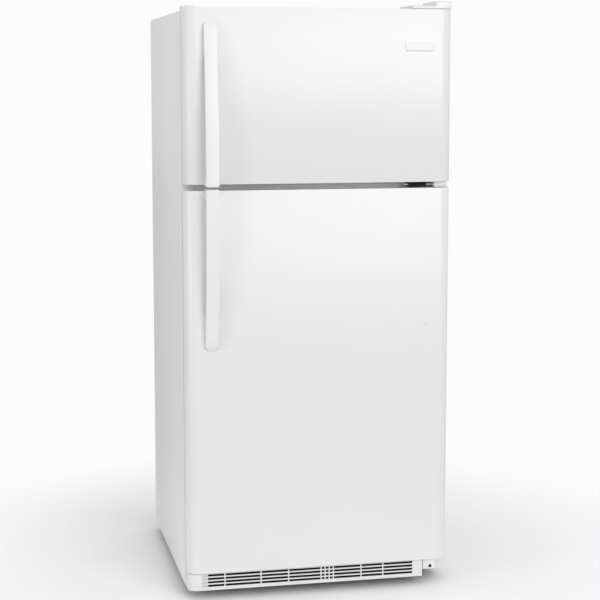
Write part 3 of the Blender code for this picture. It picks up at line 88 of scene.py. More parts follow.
def colour_setting(name, description, default):
    return FloatVectorProperty(
        name=name, description=description, default=default, subtype="COLOR", size=3, min=0, max=1
    )


class EnamelSettings(bpy.types.PropertyGroup):
    colour: colour_setting("Enamel", "Colour of the doors and the cabinet", (0.765, 0.768, 0.770))
    roughness: FloatProperty(
        name="Roughness", description="How dull the enamel is", subtype="FACTOR",
        min=0, max=1, default=0.30,
    )
    peel: length_setting("Orange peel", "Height of the waves in the enamel", 0.00006, 6)


class MouldingSettings(bpy.types.PropertyGroup):
    colour: colour_setting("Plastic", "Colour of the handles, caps and covers", (0.800, 0.802, 0.805))
    liner: colour_setting("Liner", "Colour of the rooms' walls", (0.780, 0.790, 0.800))
    grain: length_setting("Grain", "Height of the moulded grain", 0.00003, 6)


class DoorSettings(bpy.types.PropertyGroup):
    roll: length_setting("Rolled edge", "Radius of the doors' two front edges", 0.034)
    sheet: length_setting("Sheet", "Thickness of the door steel", 0.001)
    hem: length_setting("Return", "Width of the steel turned in at the back", 0.012)


class HandleSettings(bpy.types.PropertyGroup):
    tip: length_setting("Tip", "How far the far end stands off the door", 0.010)
    thickness: length_setting("Thickness", "Depth of the bow", 0.013)
    edge: length_setting("Edge", "Radius of the long edges", 0.0042)
    end: length_setting("End", "Radius of the far end's corners", 0.0155)


class RoomSettings(bpy.types.PropertyGroup):
    corner: length_setting("Corner", "Radius in the corners of the rooms", 0.014)
    wire: length_setting("Wire", "Radius of the freezer shelf's wires", 0.0016)
    wires: IntProperty(
        name="Wires", description="Wires across the freezer shelf", default=31, min=3
    )
    bin_corner: length_setting("Bin corner", "Radius of the corners of bins and drawers", 0.014)


class StageSettings(bpy.types.PropertyGroup):
    surround: FloatProperty(
        name="Surround", description="Strength of the white room round the object",
        default=0.79, min=0,
    )
    key: FloatProperty(
        name="Key light", description="Power of the large light in front, at the right",
        unit="POWER", default=82.0, min=0,
    )
    side: FloatProperty(
        name="Side light", description="Power of the tall light at the left",
        unit="POWER", default=30.0, min=0,
    )
    bounce: FloatProperty(
        name="Bounce", description="Strength of the light from the floor's far parts",
        default=0.57, min=0,
    )
    white: FloatProperty(
        name="Backdrop", description="How white the backdrop is", default=0.97, min=0,
    )
    lens: FloatProperty(
        name="Lens", description="Focal length of the camera", unit="CAMERA", default=93.0,
    )
    shift: FloatProperty(
        name="Shift", description="How far the camera's lens is raised", default=-0.05,
    )


# Selecting and moving, as by hand


def free():
    """Leaves edit mode with nothing selected."""
    if bpy.context.object and bpy.context.object.mode != "OBJECT":
        bpy.ops.object.mode_set(mode="OBJECT")
    bpy.ops.object.select_all(action="DESELECT")


def take(*objects):
    """Selects these objects and makes the first one active."""
    free()
    for obj in objects:
        obj.select_set(True)
    bpy.context.view_layer.objects.active = objects[0]
    return objects[0]


def pick(obj, part, test):
    """Enters edit mode with the vertices, edges or faces selected that pass a test of place and way."""
    take(obj)
    mesh = obj.data
    bpy.context.tool_settings.mesh_select_mode = [part == kind for kind in ("VERT", "EDGE", "FACE")]
    for group in (mesh.vertices, mesh.edges, mesh.polygons):
        group.foreach_set("select", [False] * len(group))
    if part == "FACE":
        for face in mesh.polygons:
            face.select = bool(test(face.center, face.normal))
    elif part == "EDGE":
        for edge in mesh.edges:
            one, two = (mesh.vertices[i].co for i in edge.vertices)
            edge.select = bool(test((one + two) / 2, (two - one).normalized()))
    else:
        for vertex in mesh.vertices:
            vertex.select = bool(test(vertex.co, vertex.normal))
    bpy.ops.object.mode_set(mode="EDIT")


def done(obj):
    """Leaves edit mode with the faces pointing out."""
    take(obj)
    bpy.ops.object.mode_set(mode="EDIT")
    bpy.ops.mesh.select_all(action="SELECT")
    bpy.ops.mesh.normals_make_consistent(inside=False)
    bpy.ops.object.mode_set(mode="OBJECT")
    return obj


def settle(obj, name):
    """Puts a new object's place, turn and size into its mesh."""
    bpy.ops.object.transform_apply(location=True, rotation=True, scale=True)
    obj.name = name
    obj.data.name = name
    return obj


def block(name, low, high):
    """A box between two corners, where a piece starts."""
    low, high = Vector(low), Vector(high)
    free()
    bpy.ops.mesh.primitive_cube_add(size=1, location=(low + high) / 2, scale=high - low)
    return settle(bpy.context.object, name)


def bar(name, start, end, radius, sides=16):
    """A round bar between two points."""
    start, end = Vector(start), Vector(end)
    turn = (end - start).to_track_quat("Z", "Y").to_euler()
    free()
    bpy.ops.mesh.primitive_cylinder_add(
        vertices=sides, radius=radius, depth=(end - start).length,
        location=(start + end) / 2, rotation=turn,
    )
    return settle(bpy.context.object, name)


def ring(name, centre, way, radius, wire, sides=48):
    """A round wire bent into a ring."""
    turn = Vector(way).to_track_quat("Z", "Y").to_euler()
    free()
    bpy.ops.mesh.primitive_torus_add(
        major_segments=sides, minor_segments=10, major_radius=radius, minor_radius=wire,
        location=centre, rotation=turn,
    )
    return settle(bpy.context.object, name)


def across(axis, u, v, w):
    """A point from its place across an axis and along it."""
    return Vector({"X": (w, u, v), "Y": (u, w, v), "Z": (u, v, w)}[axis])


def moulded(name, axis, rings, radius=0.0, segments=5):
    """A moulding drawn ring by ring: a flat rounded rectangle, extruded and scaled to each next one.

    A ring is (low corner, high corner, place along the axis).
    """
    (u0, v0), (u1, v1), w = rings[0]
    turn = {"X": (math.pi / 2, 0, math.pi / 2), "Y": (math.pi / 2, 0, 0), "Z": (0, 0, 0)}[axis]
    free()
    bpy.ops.mesh.primitive_plane_add(
        size=1, location=across(axis, (u0 + u1) / 2, (v0 + v1) / 2, w), rotation=turn
    )
    obj = bpy.context.object
    obj.scale = (u1 - u0, v1 - v0, 1)
    settle(obj, name)
    bpy.context.tool_settings.mesh_select_mode = (True, False, False)
    bpy.ops.object.mode_set(mode="EDIT")
    bpy.ops.mesh.select_all(action="SELECT")
    if radius:
        bpy.ops.mesh.bevel(offset=radius, segments=segments, affect="VERTICES")
    bpy.context.tool_settings.mesh_select_mode = (False, False, True)
    bpy.ops.mesh.select_all(action="SELECT")
    for before, after in zip(rings, rings[1:], strict=False):
        (a0, b0), (a1, b1), c = before
        (u0, v0), (u1, v1), w = after
        centre = across(axis, (a0 + a1) / 2, (b0 + b1) / 2, c)
        target = across(axis, (u0 + u1) / 2, (v0 + v1) / 2, w)
        scale = across(axis, (u1 - u0) / (a1 - a0), (v1 - v0) / (b1 - b0), 1)
        bpy.ops.mesh.extrude_region_move()
        bpy.ops.transform.resize(value=scale, center_override=centre)
        bpy.ops.transform.translate(value=target - centre)
    return done(obj)


def inward(corners, sides, ends=None):
    """A ring's two corners, drawn in by a margin at the sides and one at the ends."""
    ends = sides if ends is None else ends
    (u0, v0), (u1, v1) = corners
    return ((u0 + sides, v0 + ends), (u1 - sides, v1 - ends))


def modify(obj, kind, **settings):
    """Adds a modifier, sets it and applies it."""
    take(obj)
    bpy.ops.object.modifier_add(type=kind)
    modifier = obj.modifiers[-1]
    for key, value in settings.items():
        setattr(modifier, key, value)
    bpy.ops.object.modifier_apply(modifier=modifier.name)
    return obj


def soften(obj, width, segments=2, angle=30):
    """Breaks the sharp edges by a small round and smooths the rest."""
    modify(
        obj, "BEVEL", width=width, segments=segments, limit_method="ANGLE",
        angle_limit=math.radians(angle), use_clamp_overlap=True, harden_normals=False,
    )
    return smooth(obj, angle)


def smooth(obj, angle=30):
    take(obj)
    bpy.ops.object.shade_smooth_by_angle(angle=math.radians(angle))
    return obj


def together(name, objects):
    """Joins pieces into one."""
    take(*objects)
    if len(objects) > 1:
        bpy.ops.object.join()
    obj = bpy.context.object
    obj.name = name
    obj.data.name = name
    return obj


def row(obj, count, step):
    """Copies a piece along a line."""
    return modify(
        obj, "ARRAY", count=count, use_relative_offset=False, use_constant_offset=True,
        constant_offset_displace=step,
    )


def from_solid(name, node, edge, segments=2, angle=30):
    """A finished copy of a solid: whole faces again, with its edges broken."""
    mesh = NODES[node].data.copy()
    mesh.materials.clear()
    obj = bpy.data.objects.new(name, mesh)
    bpy.context.scene.collection.objects.link(obj)
    take(obj)
    bpy.ops.object.mode_set(mode="EDIT")
    bpy.ops.mesh.select_all(action="SELECT")
    bpy.ops.mesh.remove_doubles(threshold=0.00001)
    bpy.ops.mesh.dissolve_limited(angle_limit=math.radians(0.5))
    bpy.ops.object.mode_set(mode="OBJECT")
    if edge:
        soften(obj, edge, segments, angle)
    else:
        smooth(obj, angle)
    return obj


def fit(obj, body, finish_name, slot, *stands_for):
    """Gives a piece its finish, its body and the solids that it stands for."""
    if finish_name:
        obj.data.materials.clear()
        obj.data.materials.append(finish(finish_name))
    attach(obj, body)
    if stands_for:
        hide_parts(*stands_for)
    return obj


def refinish(name, node, body, finish_name, slot, edge=0.0, segments=2, angle=30):
    """A finished copy of a solid, in place of it."""
    return fit(from_solid(name, node, edge, segments, angle), body, finish_name, slot, node)


# Finishes


def principled(name, colour, roughness, metallic=0.0):
    made = bpy.data.materials.new(name)
    made.use_nodes = True
    shader = made.node_tree.nodes["Principled BSDF"]
    shader.inputs["Base Color"].default_value = (*colour, 1)
    shader.inputs["Roughness"].default_value = roughness
    shader.inputs["Metallic"].default_value = metallic
    return made


def place_of(material, stretch=(1, 1, 1)):
    """Object coordinates, stretched along an axis where a pattern runs one way."""
    tree = material.node_tree
    where = tree.nodes.new("ShaderNodeTexCoord")
    mapping = tree.nodes.new("ShaderNodeMapping")
    mapping.inputs["Scale"].default_value = stretch
    tree.links.new(where.outputs["Object"], mapping.inputs["Vector"])
    return mapping.outputs["Vector"]


def noise(material, scale, detail=2.0, stretch=(1, 1, 1)):
    tree = material.node_tree
    node = tree.nodes.new("ShaderNodeTexNoise")
    node.inputs["Scale"].default_value = scale
    node.inputs["Detail"].default_value = detail
    tree.links.new(place_of(material, stretch), node.inputs["Vector"])
    return node.outputs["Fac"]


def cells(material, scale, output="Distance"):
    tree = material.node_tree
    node = tree.nodes.new("ShaderNodeTexVoronoi")
    node.inputs["Scale"].default_value = scale
    tree.links.new(place_of(material), node.inputs["Vector"])
    return node.outputs[output]


def bands(material, scale, direction):
    tree = material.node_tree
    node = tree.nodes.new("ShaderNodeTexWave")
    node.bands_direction = direction
    node.inputs["Scale"].default_value = scale
    tree.links.new(place_of(material), node.inputs["Vector"])
    return node.outputs["Fac"]


def drift(tree, factor, low, high):
    """A value that runs between two others as a pattern does."""
    node = tree.nodes.new("ShaderNodeMapRange")
    node.inputs["To Min"].default_value = low
    node.inputs["To Max"].default_value = high
    tree.links.new(factor, node.inputs["Value"])
    return node.outputs["Result"]


def tint(material, factor, one, two):
    """The base colour runs between two as a pattern does."""
    tree = material.node_tree
    mix = tree.nodes.new("ShaderNodeMix")
    mix.data_type = "RGBA"
    colours = [socket for socket in mix.inputs if socket.type == "RGBA"]
    colours[0].default_value = (*one, 1)
    colours[1].default_value = (*two, 1)
    tree.links.new(factor, mix.inputs["Factor"])
    result = [socket for socket in mix.outputs if socket.type == "RGBA"][0]
    tree.links.new(result, tree.nodes["Principled BSDF"].inputs["Base Color"])


def gloss(material, factor, low, high):
    tree = material.node_tree
    tree.links.new(drift(tree, factor, low, high), tree.nodes["Principled BSDF"].inputs["Roughness"])


def relief(material, *layers):
    """Stacks bumps, each a (pattern, height in metres)."""
    tree = material.node_tree
    normal = None
    for pattern, height in layers:
        bump = tree.nodes.new("ShaderNodeBump")
        bump.inputs["Strength"].default_value = 1.0
        bump.inputs["Distance"].default_value = height
        tree.links.new(pattern, bump.inputs["Height"])
        if normal:
            tree.links.new(normal, bump.inputs["Normal"])
        normal = bump.outputs["Normal"]
    tree.links.new(normal, tree.nodes["Principled BSDF"].inputs["Normal"])


def shade(colour, factor):
    return tuple(channel * factor for channel in colour)


def coloured(name, colour, roughness, spread=0.02, patch=5.0, metallic=0.0, gloss_spread=0.04):
    """A finish whose colour and gloss drift a little from place to place."""
    made = principled(name, colour, roughness, metallic)
    tint(made, noise(made, patch), shade(colour, 1 - spread), shade(colour, 1 + spread))
    gloss(made, noise(made, patch * 4, 4), roughness - gloss_spread, roughness + gloss_spread)
    return made


def enamel():
    settings = bpy.context.scene.fridge_enamel
    made = coloured("white enamel", settings.colour, settings.roughness, 0.008, 2.0)
    relief(made, (noise(made, 520, 1), settings.peel), (noise(made, 2600, 1), settings.peel / 4))
    return made


def moulding():
    settings = bpy.context.scene.fridge_moulding
    made = coloured("white moulding", settings.colour, 0.36, 0.008, 7.0)
    relief(made, (noise(made, 1500, 2), settings.grain))
    return made


def liner():
    settings = bpy.context.scene.fridge_moulding
    made = coloured("liner plastic", settings.liner, 0.40, 0.010, 4.0)
    relief(made, (noise(made, 14, 1), settings.grain * 12), (cells(made, 900), settings.grain))
    return made


def vinyl():
    made = coloured("gasket vinyl", (0.50, 0.50, 0.49), 0.60, 0.05, 9.0)
    relief(made, (bands(made, 90, "Y"), 0.0008), (noise(made, 1200, 2), 0.00004))
    return made


def foam():
    made = coloured("cabinet foam", (0.80, 0.68, 0.42), 0.88, 0.12, 30.0)
    relief(made, (cells(made, 420), 0.0006), (noise(made, 60, 3), 0.0012))
    return made


def zinc():
    made = principled("zinc plate", (0.66, 0.67, 0.68), 0.36, 1.0)
    tint(made, cells(made, 85, "Color"), (0.56, 0.57, 0.59), (0.74, 0.75, 0.76))
    gloss(made, noise(made, 40, 4), 0.28, 0.46)
    relief(made, (noise(made, 300, 3), 0.00005))
    return made


def black_enamel():
    made = coloured("black enamel", (0.022, 0.022, 0.023), 0.42, 0.25, 12.0, gloss_spread=0.08)
    relief(made, (noise(made, 400, 2), 0.00008))
    return made


def black_plastic():
    made = coloured("black plastic", (0.030, 0.030, 0.031), 0.55, 0.15, 20.0, gloss_spread=0.06)
    relief(made, (noise(made, 1400, 2), 0.00005))
    return made


# A near-black finish for painted shade. It colours the sheets and plugs that stand in for shade in the
# grille's slots, the bracket's hole and gap, and the recess by the centre hinge.
def felt():
    made = coloured("baffle felt", (0.008, 0.008, 0.008), 0.92, 0.3, 60.0, gloss_spread=0.03)
    relief(made, (noise(made, 900, 4), 0.0003))
    return made


def rubber():
    made = coloured("roller rubber", (0.060, 0.060, 0.062), 0.72, 0.2, 30.0, gloss_spread=0.08)
    relief(made, (noise(made, 700, 3), 0.0001))
    return made


def aluminium():
    made = principled("drawn aluminium", (0.78, 0.79, 0.80), 0.34, 1.0)
    tint(made, noise(made, 20, 3), (0.70, 0.71, 0.72), (0.82, 0.83, 0.84))
    gloss(made, noise(made, 90, 3, (1, 8, 8)), 0.26, 0.44)
    relief(made, (noise(made, 400, 2, (0.1, 1, 1)), 0.00003))
    return made


def copper():
    made = principled("copper tube", (0.72, 0.38, 0.24), 0.32, 1.0)
    tint(made, noise(made, 35, 4), (0.50, 0.26, 0.16), (0.80, 0.45, 0.29))
    gloss(made, noise(made, 60, 3), 0.24, 0.48)
    return made


def brushed():
    made = principled("brushed badge", (0.74, 0.74, 0.75), 0.28, 1.0)
    gloss(made, noise(made, 900, 2, (0.03, 1, 1)), 0.20, 0.40)
    relief(made, (noise(made, 1500, 2, (0.02, 1, 1)), 0.00002))
    return made


def see_through(name, colour, roughness, ior, waviness, body):
    """A clear finish; body is the share of light that bends in it rather than passing straight on."""
    made = principled(name, colour, roughness)
    shader = made.node_tree.nodes["Principled BSDF"]
    shader.inputs["Transmission Weight"].default_value = 1.0
    shader.inputs["IOR"].default_value = ior
    shader.inputs["Alpha"].default_value = body
    tint(made, noise(made, 6), shade(colour, 0.97), colour)
    relief(made, (noise(made, 18, 1), waviness))
    return made


def glass():
    return see_through("shelf glass", (0.80, 0.93, 0.89), 0.02, 1.50, 0.00008, 0.45)


def clear():
    return see_through("clear plastic", (0.90, 0.93, 0.95), 0.08, 1.49, 0.0003, 0.40)


def bulb():
    made = see_through("frosted bulb", (0.95, 0.95, 0.93), 0.42, 1.45, 0.00003, 0.9)
    made.node_tree.nodes["Principled BSDF"].inputs["Transmission Weight"].default_value = 0.55
    return made


def grille_plastic():
    made = coloured("grille plastic", (0.735, 0.735, 0.735), 0.46, 0.015, 9.0)
    relief(made, (noise(made, 1300, 2), 0.00005))
    return made


def fibreboard():
    made = principled("pressed board", (0.13, 0.11, 0.095), 0.90)
    tint(made, noise(made, 160, 6, (1, 6, 0.5)), (0.085, 0.072, 0.062), (0.19, 0.165, 0.14))
    gloss(made, noise(made, 50, 3), 0.82, 0.96)
    relief(made, (noise(made, 700, 4, (1, 1, 0.3)), 0.0002))
    return made


def ink():
    return coloured("printed grey", (0.16, 0.17, 0.18), 0.50, 0.08, 80.0)


def seen_strength(tree, lit, seen):
    """One strength for what lights the object and another for what is looked at."""
    path = tree.nodes.new("ShaderNodeLightPath")
    return drift(tree, path.outputs["Is Camera Ray"], lit, seen)


def backdrop():
    """A pale floor that turns into the white of the backdrop away from the object."""
    settings = bpy.context.scene.fridge_stage
    made = coloured("studio floor", (0.95, 0.95, 0.95), 0.75, 0.010, 0.8)
    tree = made.node_tree
    relief(made, (noise(made, 120, 2), 0.0001))
    away = tree.nodes.new("ShaderNodeVectorMath")
    away.operation = "LENGTH"
    tree.links.new(place_of(made), away.inputs[0])
    fade = tree.nodes.new("ShaderNodeMapRange")
    fade.interpolation_type = "SMOOTHSTEP"
    fade.inputs["From Min"].default_value = 0.45
    fade.inputs["From Max"].default_value = 1.5
    tree.links.new(away.outputs["Value"], fade.inputs["Value"])
    glow = tree.nodes.new("ShaderNodeEmission")
    tree.links.new(seen_strength(tree, settings.bounce, settings.white), glow.inputs["Strength"])
    mix = tree.nodes.new("ShaderNodeMixShader")
    tree.links.new(fade.outputs["Result"], mix.inputs["Fac"])
    tree.links.new(tree.nodes["Principled BSDF"].outputs["BSDF"], mix.inputs[1])
    tree.links.new(glow.outputs["Emission"], mix.inputs[2])
    tree.links.new(mix.outputs["Shader"], tree.nodes["Material Output"].inputs["Surface"])
    return made


FINISHES = {
    "enamel": enamel, "moulding": moulding, "liner": liner, "vinyl": vinyl, "foam": foam,
    "zinc": zinc, "black_enamel": black_enamel, "black_plastic": black_plastic,
    "felt": felt, "rubber": rubber, "aluminium": aluminium, "copper": copper, "brushed": brushed,
    "glass": glass, "clear": clear, "bulb": bulb, "grille": grille_plastic,
    "board": fibreboard, "ink": ink, "backdrop": backdrop,
}
FINISH_OF_SLOT = {
    "white_enamel": "enamel", "white_plastic": "moulding", "liner_plastic": "liner",
    "gasket_vinyl": "vinyl", "foam": "foam", "zinc_steel": "zinc",
    "black_enamel": "black_enamel", "black_plastic": "black_plastic", "aluminium": "aluminium",
    "shelf_glass": "glass", "clear_plastic": "clear", "bulb_glass": "bulb",
    "grille_plastic": "grille", "fibreboard": "board", "badge_metal": "brushed",
}
made_finishes = {}


def finish(name):
    """A finish, made the first time it is asked for."""
    if name not in made_finishes:
        made_finishes[name] = FINISHES[name]()
    return made_finishes[name]


# The pieces


class FRIDGE_OT_cabinet(bpy.types.Operator):
    """Finish the cabinet: wrapper, centre rail, base frame, back and machine cover"""

    bl_idname = "fridge.cabinet"
    bl_label = "Cabinet"

    APRON = 0.0015
    COLUMNS, ROWS = 2, 3
    FIELD_MARGIN, FIELD_CORNER, FIELD_SLOPE = 0.045, 0.03, 0.004
    SHEET_CORNER = 0.0045
    SCREWS_UP = 5
    SCREWS_IN, SCREWS_OFF_ENDS = 0.016, 0.020
    COVER_SCREWS_IN = 0.014
    HEAD_SUNK, HEAD_PROUD = 0.0012, 0.0001

    def execute(self, context):
        refinish("cabinet_wrapper", "outer_wrapper", "cabinet", "enamel", "white_enamel", 0.0004)
        refinish("centre_rail_sheet", "centre_rail", "cabinet", "enamel", "white_enamel", 0.0003)
        self.base_frame()
        self.rear_panel()
        self.machine_cover()
        return {"FINISHED"}

    def base_frame(self):
        """Black rails with a white apron under the fresh-food door. The black is a real paint and is also
        painted shade: it darkens what shows through the grille's slots.
        """
        rails = from_solid("painted_base_frame", "base_frame", 0.0006)
        # Black on the rails: real paint, and also painted shade behind the grille's slots.
        rails.data.materials.append(finish("black_enamel"))
        rails.data.materials.append(finish("enamel"))
        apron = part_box("base_frame")[0].y + self.APRON
        for face in rails.data.polygons:
            face.material_index = int(face.center.y < apron)
        fit(rails, "cabinet", None, "black_enamel", "base_frame")

    def rear_panel(self):
        """A thin sheet with pressed fields, screwed on all round."""
        low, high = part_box("rear_panel")
        rise = (high.y - low.y) / 2
        whole = ((low.x, low.z), (high.x, high.z))
        rings = ((*whole, low.y), (*whole, high.y - rise))
        parts = [moulded("rear_sheet", "Y", rings, self.SHEET_CORNER, 4)]
        width = (high.x - low.x) / self.COLUMNS
        height = (high.z - low.z) / self.ROWS
        for column in range(self.COLUMNS):
            for place in range(self.ROWS):
                corners = (
                    (low.x + column * width, low.z + place * height),
                    (low.x + (column + 1) * width, low.z + (place + 1) * height),
                )
                outer = inward(corners, self.FIELD_MARGIN)
                inner = inward(outer, self.FIELD_SLOPE)
                rings = ((*outer, high.y - rise - TOUCH / 2), (*inner, high.y))
                parts.append(moulded("field", "Y", rings, self.FIELD_CORNER, 6))
        first = low.z + self.SCREWS_OFF_ENDS
        span = high.z - low.z - 2 * self.SCREWS_OFF_ENDS
        for x in (low.x + self.SCREWS_IN, 0, high.x - self.SCREWS_IN):
            for place in range(self.SCREWS_UP):
                z = first + place * span / (self.SCREWS_UP - 1)
                parts.append(bar("screw", (x, high.y - rise, z), (x, high.y, z), SCREW_HEAD))
        panel = smooth(together("rear_panel_sheet", parts))
        fit(panel, "cabinet", "zinc", "zinc_steel", "rear_panel")

    def machine_cover(self):
        """A pressed board with its screws."""
        refinish("machine_cover_board", "machine_cover", "cabinet", "board", "fibreboard", 0.0003)
        low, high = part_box("machine_cover")
        back, front = high.y - self.HEAD_PROUD, high.y - self.HEAD_SUNK
        heads = []
        for x in (low.x + self.COVER_SCREWS_IN, 0, high.x - self.COVER_SCREWS_IN):
            for z in (low.z + self.COVER_SCREWS_IN, high.z - self.COVER_SCREWS_IN):
                heads.append(bar("head", (x, front, z), (x, back, z), SCREW_HEAD, 20))
        screws = smooth(together("machine_cover_screws", heads))
        fit(screws, "cabinet", "zinc", "zinc_steel")


class FRIDGE_OT_doors(bpy.types.Operator):
    """Build both doors: rolled steel, end caps, inner panel with its dike, gasket"""

    bl_idname = "fridge.doors"
    bl_label = "Doors"

    PANEL_WALL, PANEL_CORNER, PANEL_ROUND = 0.002, 0.016, 0.0035
    DIKE_CLEARANCE, DIKE_WIDTH, DIKE_SLOPE = 0.012, 0.024, 0.005

    def execute(self, context):
        for prefix in ("freezer_door", "fridge_door"):
            self.skin(prefix, context.scene.fridge_door)
            for end in ("top", "bottom"):
                node = f"{prefix}_{end}_cap"
                refinish(f"{node}_moulding", node, prefix, "moulding", "white_plastic", 0.0007)
            refinish(f"{prefix}_seal", f"{prefix}_gasket", prefix, "vinyl", "gasket_vinyl", 0.0008)
        self.inner_panel("freezer_door", freezer_room())
        self.inner_panel("fridge_door", fridge_room())
        return {"FINISHED"}

    def skin(self, prefix, settings):
        """A sheet rolled round both front edges and turned in at the back."""
        low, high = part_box(prefix + "_skin")
        sheet = block(prefix + "_steel", low, high)
        pick(sheet, "EDGE", lambda at, way: abs(way.z) > ALONG and at.y < low.y + TOUCH)
        bpy.ops.mesh.bevel(offset=settings.roll, segments=18, affect="EDGES")
        pick(sheet, "FACE", lambda at, way: abs(way.z) > ALONG or way.y > ALONG)
        bpy.ops.mesh.delete(type="FACE")
        for side, step in ((low.x, settings.hem), (high.x, -settings.hem)):
            rim = lambda at, side=side: at.y > high.y - TOUCH and abs(at.x - side) < TOUCH
            pick(sheet, "EDGE", lambda at, way, rim=rim: abs(way.z) > ALONG and rim(at))
            bpy.ops.mesh.extrude_region_move(TRANSFORM_OT_translate={"value": (step, 0, 0)})
        done(sheet)
        modify(sheet, "SOLIDIFY", thickness=settings.sheet, offset=-1, use_even_offset=True)
        soften(sheet, 0.0004)
        fit(sheet, prefix, "enamel", "white_enamel", prefix + "_skin")

    def inner_panel(self, prefix, room):
        """A flat margin, a rounded dike inside the room, and a flat middle."""
        low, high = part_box(prefix + "_liner")
        outer = ((low.x, low.z), (high.x, high.z))
        rise = high.y
        sheet = low.y + self.PANEL_WALL
        clearance, width, slope = self.DIKE_CLEARANCE, self.DIKE_WIDTH, self.DIKE_SLOPE
        side, floor, ceiling = room
        shut = ((-side, floor), (side, ceiling))
        rings = (
            (*outer, low.y),
            (*outer, sheet),
            (*inward(shut, clearance), sheet),
            (*inward(shut, clearance + slope), rise),
            (*inward(shut, clearance + width - slope), rise),
            (*inward(shut, clearance + width), sheet),
        )
        panel = moulded(prefix + "_inner_panel", "Y", rings, self.PANEL_CORNER, 5)
        in_room = lambda at: abs(at.x) < side and floor < at.z < ceiling
        pick(panel, "EDGE", lambda at, way: at.y > sheet - TOUCH and in_room(at))
        bpy.ops.mesh.bevel(offset=self.PANEL_ROUND, segments=3, affect="EDGES")
        bpy.ops.object.mode_set(mode="OBJECT")
        smooth(done(panel), 40)
        fit(panel, prefix, "liner", "liner_plastic", prefix + "_liner")


def freezer_room():
    """(half width, floor, ceiling) of the freezer, which the evaporator's cover fills."""
    low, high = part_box("evaporator_cover")
    return high.x + HAIR, low.z - HAIR, high.z + HAIR


def fridge_room():
    """(half width, floor, ceiling) of the fresh-food room."""
    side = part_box("crisper_cover")[1].x
    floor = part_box("left_crisper")[0].z
    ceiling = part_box("control_box")[1].z
    return side + HAIR, floor - DRAWER_CLEARANCE, ceiling + HAIR


class FRIDGE_OT_handles(bpy.types.Operator):
    """Shape the two bow handles, which stand off furthest at the gap between the doors"""

    bl_idname = "fridge.handles"
    bl_label = "Handles"

    # The post is the near end that stands on the door, and the foot is the far one.
    POST, FOOT = 0.030, 0.095
    FIRST_SLICE, POST_ROUND = 0.008, 0.006
    SLICES = 40
    CURVE = 0.85
    NOSE, NOSE_DROP = 0.030, 0.0065
    NEAR_CORNER = 0.004

    def execute(self, context):
        settings = context.scene.fridge_handle
        self.bow("freezer", 1, settings)
        self.bow("fridge", -1, settings)
        return {"FINISHED"}

    def bow(self, door, towards, settings):
        """A long bar sliced into short lengths, each drawn back to the bow's curve."""
        low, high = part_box(door + "_handle")
        length = high.z - low.z
        start = low.z if towards > 0 else high.z
        face = high.y
        reach = high.y - low.y
        post, foot = self.POST, length - self.FOOT
        bow = block(door + "_bow", low, high)
        even = [length * i / self.SLICES for i in range(2, self.SLICES)]
        slices = sorted({self.FIRST_SLICE, post - self.POST_ROUND, post, *even, foot})
        for along in slices:
            pick(bow, "FACE", lambda at, way: True)
            bpy.ops.mesh.bisect(plane_co=(0, 0, start + towards * along), plane_no=(0, 0, 1))
        stations = [0.0, *slices, length]
        for along in stations:
            share = 1 - along / length
            rise = math.sin(share * math.pi / 2) ** self.CURVE
            stand = settings.tip + (reach - settings.tip) * rise
            fade = min(1.0, (length - along) / self.NOSE)
            stand -= self.NOSE_DROP * (1 - fade) ** 2
            here = lambda at, z=start + towards * along: abs(at.z - z) < HAIR
            pick(bow, "VERT", lambda at, way, here=here: here(at) and at.y < face - reach / 2)
            bpy.ops.transform.translate(value=(0, reach - stand, 0))
            if post - 2 * TOUCH < along < foot - 2 * TOUCH:
                pick(bow, "VERT", lambda at, way, here=here: here(at) and at.y > face - HAIR)
                bpy.ops.transform.translate(value=(0, settings.thickness - stand, 0))
        end = start + towards * length
        for z, corner, segments in ((end, settings.end, 7), (start, self.NEAR_CORNER, 4)):
            pick(bow, "EDGE", lambda at, way, z=z: abs(way.y) > ALONG and abs(at.z - z) < HAIR)
            bpy.ops.mesh.bevel(offset=corner, segments=segments, affect="EDGES")
        done(bow)
        soften(bow, settings.edge, 4, 38)
        fit(bow, door + "_door", "moulding", "white_plastic", door + "_handle")


